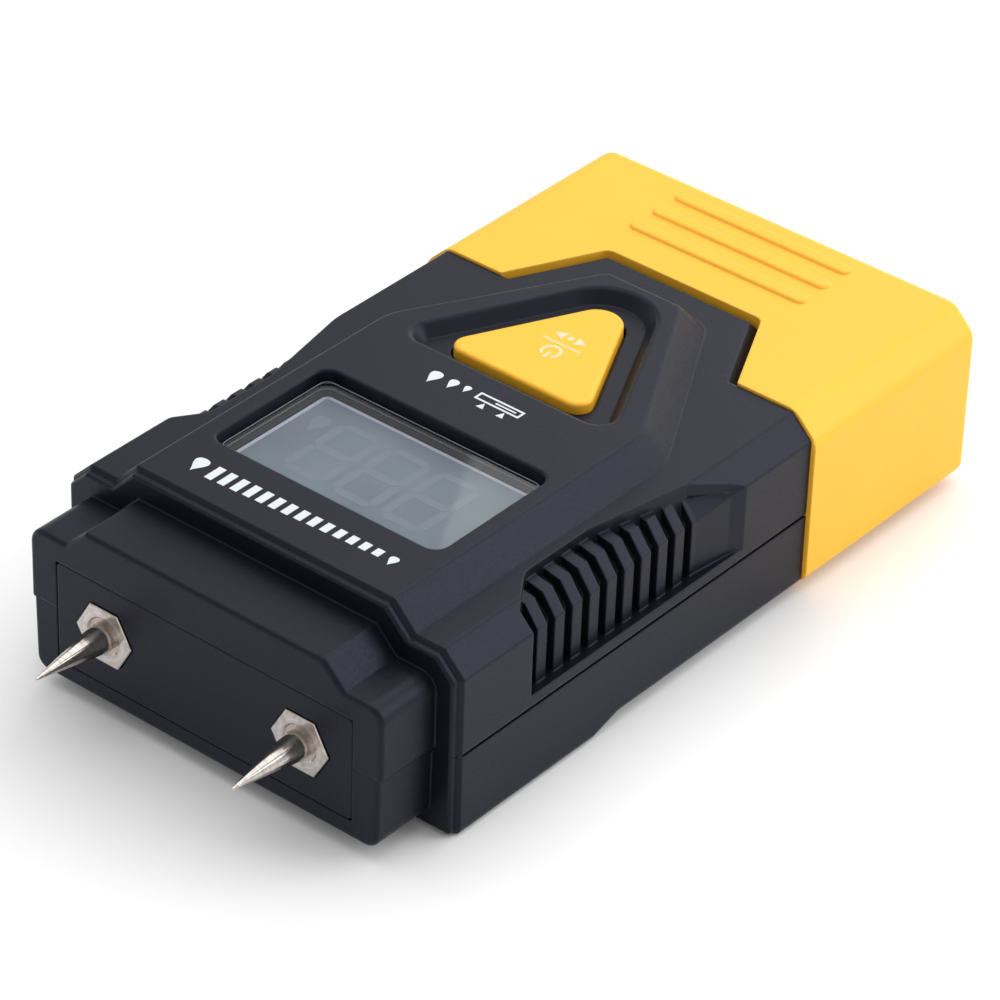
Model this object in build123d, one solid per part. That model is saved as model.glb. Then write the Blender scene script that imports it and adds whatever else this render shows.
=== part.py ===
"""Handheld pin moisture meter: case, slide-off end cover, set button, display and pin electrodes."""
from build123d import *
import os

os.makedirs("parts", exist_ok=True)

# All lengths are in millimetres.  The case frame has X across, Y from the neck's front face to the
# rear, and Z up from the underside of the end cover.  Parts are moved to the row frame on export.

# ---- Case ----------------------------------------------------------------------------------------
CASE_LENGTH = 86.5          # neck's front face to the rear of the end cover
BODY_WIDTH = 48.0
COVER_LENGTH = 26.75
FOOT_DROP = 1.2             # how far the front pad stands below the end cover
FOOT_LENGTH = 19.8          # flat part of the front pad
FOOT_RAMP = 3.6
BELLY_Z = -0.15             # underside between the pad and the cover
SHOULDER_Z = 18.87
PLATEAU_Z = 21.5
EDGE_CHAMFER = 2.4          # leg of the long 45 degree chamfer along each flank
PARTING_Z = 7.8
WALL = 1.6
EDGE_R = 0.5                # rounding of the flank chamfer's two edges
FRONT_BEVEL = 0.3
CAVITY_MARGIN = 0.2         # lower half's side walls are thicker by this much
BODY_FRONT_Y = 8.1
BODY_CORNER_R = 0.9
LIP_INSET = 0.45
LIP_LENGTH = 0.75
LIP_CORNER_R = 0.4
LIP_EDGE_R = 0.35
SEAM = 0.4                  # square groove along the parting line
FIT = 0.05                  # gap round pieces that are fixed in place
SKIN = 0.02                 # air between faces that only rest on each other

# ---- Neck ----------------------------------------------------------------------------------------
NECK_STEP = 2.4             # each side of the neck stands in from the case's flank
NECK_TOP_Z = 18.7
NECK_SHOULDER_Z = 16.3
NECK_BOTTOM_Z = 0.5
NECK_SEAM_Z = 8.5
NECK_TOP_HALF_W = 14.5
NECK_SLOPE = 2.5
NECK_TUCK = 0.3             # the lower half of the neck stands in by this much
NECK_DRAFT = 0.15
NECK_CORNER_R = 1.4
NECK_UPPER_R = 1.7
NECK_FRONT_R = 0.5
NECK_FRONT_WALL = 1.8
NECK_SIDE_WALL = 2.2

# ---- Plateau on the top face -----------------------------------------------------------------------
PLATEAU_HALF_W = 15.6
PLATEAU_BEND_AHEAD = 16.35  # bend ahead of the cover's front edge
PLATEAU_REAR_HALF_W = 4.9
PLATEAU_REAR_BEHIND = 3.95  # rear end behind the cover's front edge
PLATEAU_SLOPE = 44.0        # degrees from vertical
PLATEAU_BEND_R = 8.0
PLATEAU_CORNER_R = 3.4      # at shoulder level; the slope tightens it towards the top
PLATEAU_EDGE_R = 0.45

# ---- End cover -------------------------------------------------------------------------------------
COVER_PROUD = 0.45          # each side of the cover beyond the case's flank
COVER_TOP_Z = 19.1
COVER_CHAMFER = 2.7
COVER_WALL = 1.6
COVER_CORNER_R = 1.2
COVER_EDGE_R = 2.2          # rounding of the chamfer's two edges
LEAST_R = 0.3
COVER_GAP = 0.15            # line between the cover and the case
SLIDE_GAP = 0.2             # running room between the cover and the sleeve
SLEEVE_WALL = 1.4
SLEEVE_SHORT = 0.7          # sleeve's end to the inside of the cover's rear wall
NOTCH_FRONT_HALF_W = 14.8
NOTCH_REAR_HALF_W = 9.6
NOTCH_DEPTH = 10.65
NOTCH_R = 1.2
TONGUE_BEVEL = 0.9
RIB_COUNT = 3
RIB_PITCH = 3.65
RIB_LENGTH = 22.0
RIB_WIDTH = 1.6
RIB_HEIGHT = 0.32
RIB_REAR_MARGIN = 3.4

# ---- Display window --------------------------------------------------------------------------------
WINDOW_HALF_W = 13.9
WINDOW_FRONT_Y = 16.35
WINDOW_LENGTH = 16.25
WINDOW_R = 1.5
WINDOW_RECESS = 1.0         # plateau down to the lens
WINDOW_RIM_R = 0.3
LENS_THICK = 1.1
LENS_GAP = 0.2
LENS_BEVEL = 0.35
GASKET_THICK = 0.15
LEDGE = 1.0                 # width of the ledge the lens is bonded to
LEDGE_THICK = 1.0
SIGHT_R = 0.8
LCD_THICK = 1.85
LCD_DROP = 0.15             # display below the ledge
LCD_MARGIN = 1.1            # glass beyond the opening on every side
LCD_CONTACT_LEDGE = 1.0     # more glass at both ends for the contact strips
HOLDER_GAP = 0.1
HOLDER_WALL = 0.9
HOLDER_SIDE_WALL = 0.4
HOLDER_DROP = 0.3
STRIP_WIDTH = 2.0
STRIP_MARGIN = 1.2
STRIP_INSET = 0.2
LCD_BAY = 6.5               # raised roof of the case behind the display

# ---- Set button ------------------------------------------------------------------------------------
BUTTON_AHEAD = 16.05        # button's front edge ahead of the cover's
BUTTON_HALF_W = 9.2
BUTTON_LENGTH = 18.7        # to the sharp point before rounding
BUTTON_POINT_R = 2.6
BUTTON_CORNER_R = 1.6
BUTTON_SINK = 0.35          # below the plateau
BUTTON_EDGE_R = 0.4
BUTTON_WALL = 1.3
BUTTON_WEB = 1.5            # case wall under the dish
PUSHER_R = 2.2
BUTTON_FLANGE = 0.9
BUTTON_FLANGE_THICK = 1.1
BUTTON_GAP = 0.25
DISH_DEPTH = 1.4
DISH_FRONT = 1.9            # dish edge ahead of the button
DISH_SIDE = 3.2
DISH_POINT_R = 5.6
DISH_CORNER_R = 2.2
DISH_TAPER = 40.0
DISH_RIM_R = 0.6

# ---- Side grips ------------------------------------------------------------------------------------
GRIP_FRONT_Y = 18.0
GRIP_GROOVES = 10
GRIP_PITCH = 2.52
GRIP_GROOVE_W = 1.15
GRIP_LEDGE_Z = 9.3
GRIP_SET_IN = 1.0           # ribs below the flank
GRIP_GROOVE_DEPTH = 0.9
GRIP_KNEE_Z = 15.3
GRIP_CROWN_DROP = 0.9       # rib crowns below the shoulder
GRIP_TOP_INSET = 4.6        # inner edge on the shoulder, in from the flank
GRIP_REAR_INSET = 2.3       # the same at the rearmost rib
GRIP_LEAD = 4.2             # length of the slanted front corner
GRIP_LEAD_W = 2.9           # width of the same
GRIP_BEND_R = 2.5
GRIP_FIRST = 0.7            # first groove behind the grip's front end
GRIP_RIB_SHOULDER = 1.6     # ribs turn from face to crown over this width
GRIP_RIB_DROP = 0.5
GRIP_STRAIGHT = 9.0         # length of the inner edge that runs parallel to the flank
GRIP_FLAT = 4.5             # smooth facet behind the ribs
GRIP_FLAT_SET_IN = 0.5      # facet below the flank where its run-out starts
GRIP_RUN_OUT = 1.9
GRIP_FLAT_SHARE = 0.62      # where the smooth facet bends, as a share of its width
GRIP_FLAT_DROP = 0.1        # drop to that bend, as a share of its height
GRIP_LOW_STEP = 0.45        # facet's first station below the rib crowns

# ---- Electrodes ------------------------------------------------------------------------------------
PIN_SPACING = 24.2
PIN_Z = 8.3
PIN_REACH = 9.2             # tip ahead of the neck's front face
PIN_BASE_R = 1.45
PIN_TIP_R = 0.12
PIN_COLLAR_R = 1.85         # bottom of the turned dimple round the point
HEX_ACROSS_FLATS = 6.0
HEX_THICK = 1.6
HEX_PROUD = 0.25            # ahead of the plate
HEX_GAP = 0.08
SHANK_R = 1.45
SHANK_LENGTH = 5.4
DIMPLE_DEPTH = 0.4
DIMPLE_FLARE = 0.4
THREAD_NECK = 0.7           # straight stretch of the point at the dimple
INSERT_R = 2.3
INSERT_LENGTH = 6.0
PLATE_HALF_W = 18.2
PLATE_LOW_Z = 2.5
PLATE_HIGH_Z = 13.8
PLATE_FLANGE = 0.6
PLATE_THICK = 3.4
PLATE_BOSS_R = 3.4
PLATE_FACE_THICK = 1.9
PLATE_CORNER_R = 0.6
PLATE_BEVEL = 0.12
LEAD_WIDTH = 4.0
LEAD_LOW = 2.4              # strip's lower end below the electrode's axis
LEAD_FOOT = 2.2             # foot on the board

# ---- Inside ----------------------------------------------------------------------------------------
BOARD_LOW_Z = 11.0
BOARD_THICK = 1.6
BOARD_HALF_W = 15.6
BOARD_FRONT_Y = 10.4
BOARD_REAR_AHEAD = 3.35     # board's rear edge ahead of the cover's front
BOARD_SCREW_R = 0.65
BOARD_SCREW_HEAD_R = 1.5
BOARD_SCREW_HEAD_H = 0.9
BOARD_SCREW_LENGTH = 4.6
BOARD_SCREW_MARGIN = 2.4
BOARD_SCREW_FRONT = 1.9
BOARD_SCREW_AHEAD = 3.0     # rear board screws ahead of the button
BOARD_BOSS_R = 1.7
BOARD_HOLE_R = 0.95
CHIP_SIZE = 9.0
CHIP_THICK = 1.4
COMPONENT_COUNT = 6
COMPONENT_PITCH = 4.0
COMPONENT_WIDTH = 1.6
COMPONENT_LENGTH = 3.2
COMPONENT_THICK = 1.1
CELL_R = 10.0
CELL_THICK = 3.2
CELL_COUNT = 3
CELL_GAP = 0.3
CELL_CAP_INSET = 1.3
CELL_CAP_STEP = 0.35
CELL_EDGE_R = 0.3
WELL_WALL = 1.3
WELL_ROOF = 1.2
CONTACT_THICK = 0.3
CONTACT_WIDTH = 5.0
CONTACT_SLIT_GAP = 0.2
CONTACT_REACH = 4.0         # behind the cells' centre
CONTACT_STAND = 2.6         # riser ahead of the well
CONTACT_END_MARGIN = 1.8
SCREW_R = 1.1
SCREW_HEAD_R = 1.9
SCREW_HEAD_H = 1.3
SCREW_LENGTH = 10.5
SCREW_SEAT_Z = 2.6
SCREW_CLEARANCE = 0.15
SCREW_BORE = 7.0            # threaded depth in the upper half
RECESS_WIDTH = 0.44
CASE_SCREW_INSET = 5.4
CASE_SCREW_FRONT_Y = 14.2
CASE_SCREW_REAR_AHEAD = 5.15
BOSS_R = 2.2
LABEL_THICK = 0.25
LABEL_WIDTH = 34.0
LABEL_CORNER_R = 1.5
LABEL_FRONT_MARGIN = 2.0
LABEL_REAR_MARGIN = 8.6
LABEL_GAP = 0.1
SWITCH_SIZE = 6.0
SWITCH_HEIGHT = 3.4
PLUNGER_R = 1.7
PLUNGER_REACH = 0.9
PLUNGER_REST = 0.03         # air between the plunger and the button's pusher

# ---- Derived places --------------------------------------------------------------------------------
BODY_HALF_W = BODY_WIDTH / 2
NECK_HALF_W = BODY_HALF_W - NECK_STEP
COVER_HALF_W = BODY_HALF_W + COVER_PROUD
COVER_FRONT_Y = CASE_LENGTH - COVER_LENGTH
BODY_REAR_Y = COVER_FRONT_Y - COVER_GAP
PLATEAU_BEND_Y = COVER_FRONT_Y - PLATEAU_BEND_AHEAD
PLATEAU_REAR_Y = COVER_FRONT_Y + PLATEAU_REAR_BEHIND
BUTTON_FRONT_Y = COVER_FRONT_Y - BUTTON_AHEAD
FOOT_REAR_Y = BODY_FRONT_Y + FOOT_LENGTH
ROOF_Z = SHOULDER_Z - WALL                       # inside of the case under the shoulders
LENS_TOP_Z = PLATEAU_Z - WINDOW_RECESS
LEDGE_Z = LENS_TOP_Z - LENS_THICK - GASKET_THICK
LEDGE_LOW_Z = LEDGE_Z - LEDGE_THICK
FLOOR_Z = BELLY_Z + WALL
SLEEVE_INSET = COVER_WALL + SLIDE_GAP
SLEEVE_END_Y = CASE_LENGTH - COVER_WALL - SLEEVE_SHORT
SLEEVE_FLOOR_Z = SLEEVE_INSET + SLEEVE_WALL
SLEEVE_ROOF_Z = COVER_TOP_Z - SLEEVE_INSET - SLEEVE_WALL
INNER_HALF_W = BODY_HALF_W - GRIP_SET_IN - GRIP_GROOVE_DEPTH - WALL
BOARD_TOP_Z = BOARD_LOW_Z + BOARD_THICK
DISH_Z = PLATEAU_Z - DISH_DEPTH
BUTTON_TOP_Z = PLATEAU_Z - BUTTON_SINK
BUTTON_WEB_Z = DISH_Z - BUTTON_WEB               # underside of the case round the button
BUTTON_Y = BUTTON_FRONT_Y + 0.36 * BUTTON_LENGTH
SWITCH_TOP_Z = BOARD_TOP_Z + SWITCH_HEIGHT
PLUNGER_TOP_Z = SWITCH_TOP_Z + PLUNGER_REACH
CELL_Y = SLEEVE_END_Y - WALL - CELL_R
CELL_LOW_Z = SLEEVE_FLOOR_Z + CONTACT_THICK
CELL_HIGH_Z = CELL_LOW_Z + CELL_COUNT * CELL_THICK
BOARD_REAR_Y = COVER_FRONT_Y - BOARD_REAR_AHEAD
CONTACT_END_Y = BOARD_REAR_Y - CONTACT_END_MARGIN
WELL_R = CELL_R + CELL_GAP
WELL_TOP_Z = CELL_HIGH_Z + CONTACT_THICK + 0.1
CONTACT_HALF_W = CONTACT_WIDTH / 2
SLIT_HALF_W = CONTACT_HALF_W + CONTACT_SLIT_GAP
HEX_SEAT_Y = HEX_THICK - HEX_PROUD
GRIP_LENGTH = GRIP_GROOVES * GRIP_PITCH
GRIP_REAR_Y = GRIP_FRONT_Y + GRIP_LENGTH
GRIP_TOP_HALF_W = BODY_HALF_W - GRIP_TOP_INSET
GRIP_REAR_HALF_W = BODY_HALF_W - GRIP_REAR_INSET
GRIP_CROWN_Z = SHOULDER_Z - GRIP_CROWN_DROP
WINDOW_MID_Y = WINDOW_FRONT_Y + WINDOW_LENGTH / 2
LENS_HALF_W = WINDOW_HALF_W - LENS_GAP
LENS_LENGTH = WINDOW_LENGTH - 2 * LENS_GAP
SIGHT_WIDTH = 2 * (WINDOW_HALF_W - LEDGE)
SIGHT_LENGTH = WINDOW_LENGTH - 2 * LEDGE
LCD_HALF_W = SIGHT_WIDTH / 2 + LCD_MARGIN
LCD_HALF_L = SIGHT_LENGTH / 2 + LCD_MARGIN + LCD_CONTACT_LEDGE
LCD_TOP_Z = LEDGE_LOW_Z - LCD_DROP
LCD_LOW_Z = LCD_TOP_Z - LCD_THICK
LCD_FRONT_Y = WINDOW_MID_Y - LCD_HALF_L
LCD_REAR_Y = WINDOW_MID_Y + LCD_HALF_L
LABEL_FRONT_Y = FOOT_REAR_Y + FOOT_RAMP + LABEL_FRONT_MARGIN
LABEL_REAR_Y = BODY_REAR_Y - LABEL_REAR_MARGIN
CASE_SCREW_X = BODY_HALF_W - CASE_SCREW_INSET
CASE_SCREW_REAR_Y = COVER_FRONT_Y - CASE_SCREW_REAR_AHEAD
CASE_SCREWS = [(x, y) for x in (-CASE_SCREW_X, CASE_SCREW_X)
               for y in (CASE_SCREW_FRONT_Y, CASE_SCREW_REAR_Y)]
BOARD_SCREW_X = BOARD_HALF_W - BOARD_SCREW_MARGIN
BOARD_SCREW_REAR_Y = BUTTON_FRONT_Y - BOARD_SCREW_AHEAD
BOARD_SCREWS = [(0, BOARD_FRONT_Y + BOARD_SCREW_FRONT), (-BOARD_SCREW_X, BOARD_SCREW_REAR_Y),
                (BOARD_SCREW_X, BOARD_SCREW_REAR_Y)]
FAR = 100.0                                      # beyond the object in any direction
ROW_PLACE = Pos(0, -(CASE_LENGTH - PIN_REACH) / 2, FOOT_DROP)


# ---- Helpers ---------------------------------------------------------------------------------------
def block(x0, x1, y0, y1, z0, z1):
    """Box between two opposite corners."""
    return Pos((x0 + x1) / 2, (y0 + y1) / 2, (z0 + z1) / 2) * Box(x1 - x0, y1 - y0, z1 - z0)


def mirrored(half):
    """Closed outline from its right-hand points, bottom to top, and their mirror images."""
    return half + [(-x, z) for x, z in reversed(half)]


def outline(points):
    """Flat face from a closed list of points."""
    return make_face(Polyline(*points, close=True))


def along_y(face, y0, y1):
    """Prism of an XZ face from y0 to y1."""
    return Pos(0, y0, 0) * extrude(Plane.XZ * face, amount=-(y1 - y0))


def rod_y(radius, x, z, y0, y1):
    """Cylinder along Y."""
    return Pos(x, (y0 + y1) / 2, z) * Rot(90, 0, 0) * Cylinder(radius, y1 - y0)


def rod_z(radius, x, y, z0, z1):
    """Cylinder along Z."""
    return Pos(x, y, (z0 + z1) / 2) * Cylinder(radius, z1 - z0)


def both_sides(half):
    """A right-hand solid and its mirror image as one."""
    return half + mirror(half, about=Plane.YZ)


def cap_section(inset):
    """Section of the end cover's outside, stood in by inset."""
    half_w = COVER_HALF_W - inset
    low = inset
    high = COVER_TOP_Z - inset
    leg = COVER_CHAMFER - inset * (2 - 2 ** 0.5)
    face = outline(mirrored([(half_w, low), (half_w, high - leg), (half_w - leg, high)]))
    lower = face.vertices().sort_by(Axis.Y)[:2]
    face = fillet(lower, max(COVER_CORNER_R - inset, LEAST_R))
    upper = face.vertices().sort_by(Axis.Y)[-4:]
    return fillet(upper, max(COVER_EDGE_R - inset, LEAST_R))


def triangle(front_y, half_w, length, corner_r, point_r, z):
    """Rounded triangle that points to the rear."""
    face = outline([(-half_w, front_y), (half_w, front_y), (0, front_y + length)])
    face = fillet(face.vertices().sort_by(Axis.Y)[-1:], point_r)
    face = fillet(face.vertices().sort_by(Axis.Y)[:2], corner_r)
    return Pos(0, 0, z) * face


def grown_triangle(margin, z):
    """The button's outline, larger by margin all round."""
    slope = BUTTON_HALF_W / BUTTON_LENGTH
    side = margin * (1 + slope ** 2) ** 0.5
    half_w = BUTTON_HALF_W + side + margin * slope
    length = half_w / slope
    return triangle(BUTTON_FRONT_Y - margin, half_w, length, BUTTON_CORNER_R + margin,
                    BUTTON_POINT_R + margin, z)


# ---- Case ------------------------------------------------------------------------------------------
def body_face(inset):
    """Section of the case between the flanks, stood in by inset."""
    half_w = BODY_HALF_W - inset
    high = SHOULDER_Z - inset
    leg = EDGE_CHAMFER - inset * (2 - 2 ** 0.5)
    slope_run = PLATEAU_Z - SHOULDER_Z
    points = [(half_w, -FOOT_DROP + inset), (half_w, high - leg), (half_w - leg, high),
              (PLATEAU_HALF_W + slope_run - 0.4 * inset, high),
              (PLATEAU_HALF_W - 0.4 * inset, PLATEAU_Z - inset)]
    return outline(mirrored(points))


def plateau_outline():
    """Foot of the raised plateau at shoulder level, run out past the case's front."""
    run = PLATEAU_Z - SHOULDER_Z
    half_w = PLATEAU_HALF_W + run
    bend_y = PLATEAU_BEND_Y + 0.4 * run
    face = outline([(-half_w, -20), (half_w, -20), (half_w, bend_y),
                    (PLATEAU_REAR_HALF_W + 0.45 * run, PLATEAU_REAR_Y + run),
                    (-PLATEAU_REAR_HALF_W - 0.45 * run, PLATEAU_REAR_Y + run), (-half_w, bend_y)])
    by_y = face.vertices().sort_by(Axis.Y)
    face = fillet(by_y[2:4], PLATEAU_BEND_R)
    return fillet(face.vertices().sort_by(Axis.Y)[-2:], PLATEAU_CORNER_R)


def plateau():
    """Raised plateau with sloping sides."""
    raised = extrude(Pos(0, 0, SHOULDER_Z) * plateau_outline(), amount=PLATEAU_Z - SHOULDER_Z,
                     taper=PLATEAU_SLOPE)
    raised = raised & block(-FAR, FAR, BODY_FRONT_Y, FAR, SHOULDER_Z, PLATEAU_Z + 1)
    top = raised.faces().sort_by(Axis.Z)[-1]
    rim = [e for e in top.edges() if e.center().Y > BODY_FRONT_Y + 0.1]
    return fillet(rim, PLATEAU_EDGE_R)


def body_block():
    """Outside of the case between the neck and the end cover."""
    leg = EDGE_CHAMFER
    face = outline(mirrored([(BODY_HALF_W, -FOOT_DROP), (BODY_HALF_W, SHOULDER_Z - leg),
                             (BODY_HALF_W - leg, SHOULDER_Z)]))
    face = fillet(face.vertices().sort_by(Axis.Y)[-4:], EDGE_R)
    solid = along_y(face, BODY_FRONT_Y, BODY_REAR_Y)
    belly = Plane.YZ * outline([(FOOT_REAR_Y, -FOOT_DROP - 1), (FOOT_REAR_Y, -FOOT_DROP),
                                (FOOT_REAR_Y + FOOT_RAMP, BELLY_Z), (FAR, BELLY_Z),
                                (FAR, -FOOT_DROP - 1)])
    solid = solid - extrude(belly, amount=FAR, both=True)
    long_low = [e for e in solid.edges()
                if abs(abs(e.center().X) - BODY_HALF_W) < 0.01 and e.center().Z < 0.1]
    solid = fillet(long_low, BODY_CORNER_R)
    solid = solid + plateau()
    front = [e for e in solid.edges() if abs(e.center().Y - BODY_FRONT_Y) < 0.01]
    return chamfer(front, FRONT_BEVEL)


def lip():
    """Narrow step round the case's front edge."""
    face = fillet(body_face(LIP_INSET).vertices(), LIP_CORNER_R)
    solid = along_y(face, BODY_FRONT_Y - LIP_LENGTH, BODY_FRONT_Y + 1)
    front = solid.faces().sort_by(Axis.Y)[0]
    return fillet(front.edges(), LIP_EDGE_R)


def neck_block(low):
    """Outside of the neck; low picks the half below the seam, which stands in a little."""
    if low:
        points = [(NECK_HALF_W - NECK_TUCK - NECK_DRAFT, NECK_BOTTOM_Z),
                  (NECK_HALF_W - NECK_TUCK, NECK_SEAM_Z)]
        face = outline(mirrored(points))
        face = fillet(face.vertices().sort_by(Axis.Y)[:2], NECK_CORNER_R)
    else:
        points = [(NECK_HALF_W, NECK_SEAM_Z), (NECK_HALF_W, NECK_SHOULDER_Z),
                  (NECK_TOP_HALF_W + NECK_SLOPE, NECK_SHOULDER_Z), (NECK_TOP_HALF_W, NECK_TOP_Z)]
        face = outline(mirrored(points))
        outer = [v for v in face.vertices()
                 if abs(v.Y - NECK_SHOULDER_Z) < 0.01 and abs(v.X) > NECK_HALF_W - 0.01]
        face = fillet(outer, NECK_UPPER_R)
    solid = along_y(face, 0, BODY_FRONT_Y + 1)
    front = [e for e in solid.faces().sort_by(Axis.Y)[0].edges()
             if abs(e.center().Z - NECK_SEAM_Z) > 0.01]
    return fillet(front, NECK_FRONT_R)


def sleeve():
    """Sleeve that the end cover slides over."""
    return along_y(cap_section(SLEEVE_INSET), BODY_REAR_Y - 1, SLEEVE_END_Y)


def tongue(margin, z0, z1):
    """Tapered tongue that fills the end cover's notch; margin grows it."""
    front_y = BODY_REAR_Y - 1
    lead = (COVER_FRONT_Y - front_y) * (NOTCH_FRONT_HALF_W - NOTCH_REAR_HALF_W) / NOTCH_DEPTH
    rear_y = COVER_FRONT_Y + NOTCH_DEPTH + margin
    front_w = NOTCH_FRONT_HALF_W + lead + margin
    rear_w = NOTCH_REAR_HALF_W + margin
    face = outline([(-front_w, front_y), (front_w, front_y), (rear_w, rear_y), (-rear_w, rear_y)])
    face = fillet(face.vertices().sort_by(Axis.Y)[-2:], NOTCH_R)
    return extrude(Pos(0, 0, z0) * face, amount=z1 - z0)


def case_tongue():
    """The case's tongue with its bevelled edge."""
    solid = tongue(-COVER_GAP, SLEEVE_ROOF_Z, SHOULDER_Z)
    top = solid.faces().sort_by(Axis.Z)[-1]
    rim = [e for e in top.edges() if e.center().Y > BODY_REAR_Y]
    return chamfer(rim, TONGUE_BEVEL)


def grip_section(set_in, knee_z, inner_x, inner_z):
    """Section outside one station of the grip, from its ledge round to its inner edge."""
    face_x = BODY_HALF_W - set_in
    far = BODY_HALF_W + 2
    high = SHOULDER_Z + 1
    shoulder_x = inner_x + GRIP_FLAT_SHARE * (face_x - inner_x)
    shoulder_z = inner_z - GRIP_FLAT_DROP * (inner_z - knee_z)
    if set_in >= GRIP_SET_IN:
        shoulder_x = face_x - GRIP_RIB_SHOULDER
        shoulder_z = inner_z - GRIP_RIB_DROP
    return outline([(face_x, GRIP_LEDGE_Z), (face_x, knee_z), (shoulder_x, shoulder_z), (inner_x, inner_z),
                    (inner_x, high), (far, high), (far, GRIP_LEDGE_Z)])


def grip_plan():
    """Plan of the ribbed part of the right grip."""
    far = BODY_HALF_W + 3
    face = outline([(far, GRIP_FRONT_Y), (GRIP_TOP_HALF_W + GRIP_LEAD_W, GRIP_FRONT_Y),
                    (GRIP_TOP_HALF_W, GRIP_FRONT_Y + GRIP_LEAD),
                    (GRIP_TOP_HALF_W, GRIP_FRONT_Y + GRIP_LEAD + GRIP_STRAIGHT),
                    (GRIP_REAR_HALF_W, GRIP_REAR_Y), (far, GRIP_REAR_Y)])
    bends = [v for v in face.vertices() if abs(v.X - GRIP_TOP_HALF_W) < 0.01]
    face = fillet(bends, GRIP_BEND_R)
    return extrude(face, amount=FAR)


def grip_station(y, set_in, knee_z, inner_x, inner_z):
    """Closed wire of a grip section at y, for lofting."""
    return (Pos(0, y, 0) * (Plane.XZ * grip_section(set_in, knee_z, inner_x, inner_z))).face().outer_wire()


def grip_cutter():
    """Everything that is taken out of the right flank for the grip."""
    inner_x = GRIP_TOP_HALF_W - 0.4
    ribs = grip_section(GRIP_SET_IN, GRIP_KNEE_Z, inner_x, GRIP_CROWN_Z)
    cutter = along_y(ribs, GRIP_FRONT_Y, GRIP_REAR_Y)
    depth = GRIP_GROOVE_DEPTH
    groove = grip_section(GRIP_SET_IN + depth, GRIP_KNEE_Z - 0.3 * depth, inner_x, GRIP_CROWN_Z - depth)
    for i in range(GRIP_GROOVES):
        y0 = GRIP_FRONT_Y + GRIP_FIRST + i * GRIP_PITCH
        cutter = cutter + along_y(groove, y0, y0 + GRIP_GROOVE_W)
    cutter = cutter & grip_plan()
    edge_z = SHOULDER_Z - EDGE_CHAMFER
    flat_y = GRIP_REAR_Y + GRIP_FLAT
    near = grip_station(GRIP_REAR_Y, GRIP_SET_IN, GRIP_KNEE_Z, GRIP_REAR_HALF_W,
                        GRIP_CROWN_Z - GRIP_LOW_STEP)
    middle = grip_station(flat_y, GRIP_FLAT_SET_IN, edge_z - 0.5, BODY_HALF_W - 0.8, edge_z)
    end = grip_station(flat_y + GRIP_RUN_OUT, -0.01, edge_z - 0.2, BODY_HALF_W + 0.03, edge_z)
    cutter = cutter + Solid.make_loft([near, middle], ruled=True)
    return cutter + Solid.make_loft([middle, end], ruled=True)


def seam_cutter():
    """Groove along the parting line of the right flank."""
    return block(BODY_HALF_W - SEAM, BODY_HALF_W + 1, BODY_FRONT_Y + 0.3, BODY_REAR_Y + 1,
                 PARTING_Z, PARTING_Z + SEAM)


def sleeve_space(overlap):
    """Hollow of the sleeve, run forward into the case."""
    section = cap_section(SLEEVE_INSET + SLEEVE_WALL)
    return along_y(section, BODY_REAR_Y - WALL - overlap, SLEEVE_END_Y - SLEEVE_WALL)


def upper_space():
    """Hollow of the upper half."""
    low = PARTING_Z - 1
    knee_z = GRIP_KNEE_Z - GRIP_GROOVE_DEPTH - 0.2
    bench = outline(mirrored([(INNER_HALF_W, low), (INNER_HALF_W, knee_z), (INNER_HALF_W - 2, knee_z + 2.1),
                              (INNER_HALF_W - 4, ROOF_Z)]))
    space = along_y(bench, BODY_FRONT_Y + WALL, BODY_REAR_Y + 1.5)
    lcd_half_w = WINDOW_HALF_W + 0.6
    space = space + block(-lcd_half_w, lcd_half_w, BODY_FRONT_Y + WALL, LCD_REAR_Y + LCD_BAY,
                          low, LEDGE_LOW_Z)
    neck_w = NECK_HALF_W - NECK_SIDE_WALL
    neck = outline(mirrored([(neck_w, low), (neck_w, NECK_SHOULDER_Z - WALL),
                             (NECK_TOP_HALF_W, NECK_SHOULDER_Z - WALL),
                             (NECK_TOP_HALF_W - 1.5, NECK_TOP_Z - WALL)]))
    space = space + along_y(neck, NECK_FRONT_WALL, BODY_FRONT_Y + WALL + 0.1)
    return space + sleeve_space(0)


def lower_space():
    """Hollow of the lower half."""
    high = NECK_SEAM_Z + 1
    half_w = BODY_HALF_W - WALL - CAVITY_MARGIN
    space = block(-half_w, half_w, BODY_FRONT_Y + WALL, BODY_REAR_Y - WALL, FLOOR_Z, high)
    neck_w = NECK_HALF_W - NECK_SIDE_WALL
    space = space + block(-neck_w, neck_w, NECK_FRONT_WALL, BODY_FRONT_Y + WALL + 0.1,
                          PLATE_LOW_Z - PLATE_FLANGE, high)
    return space + sleeve_space(0.1)


def cell_well(r, z0, z1):
    """Round-fronted slot for the coin cells, open through the sleeve's rear."""
    return rod_z(r, 0, CELL_Y, z0, z1) + block(-r, r, CELL_Y, SLEEVE_END_Y, z0, z1)


def sleeve_room():
    """Everything ahead of the inside of the sleeve's rear wall."""
    return block(-FAR, FAR, 0, SLEEVE_END_Y - SLEEVE_WALL + 0.1, 0, FAR)


def half_split(low):
    """Region that holds one half of the case, with the parting line's step at the neck."""
    step_y = BODY_FRONT_Y - LIP_LENGTH
    if low:
        body = block(-FAR, FAR, step_y, CASE_LENGTH + FAR, -FAR, PARTING_Z)
        return body + block(-FAR, FAR, -FAR, step_y, -FAR, NECK_SEAM_Z)
    body = block(-FAR, FAR, step_y, CASE_LENGTH + FAR, PARTING_Z, FAR)
    return body + block(-FAR, FAR, -FAR, step_y, NECK_SEAM_Z, FAR)


def case_outside(low):
    """Outer form of one half of the case."""
    solid = body_block() + lip() + neck_block(low) + sleeve()
    if not low:
        solid = solid + case_tongue()
    return solid & half_split(low)


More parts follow.
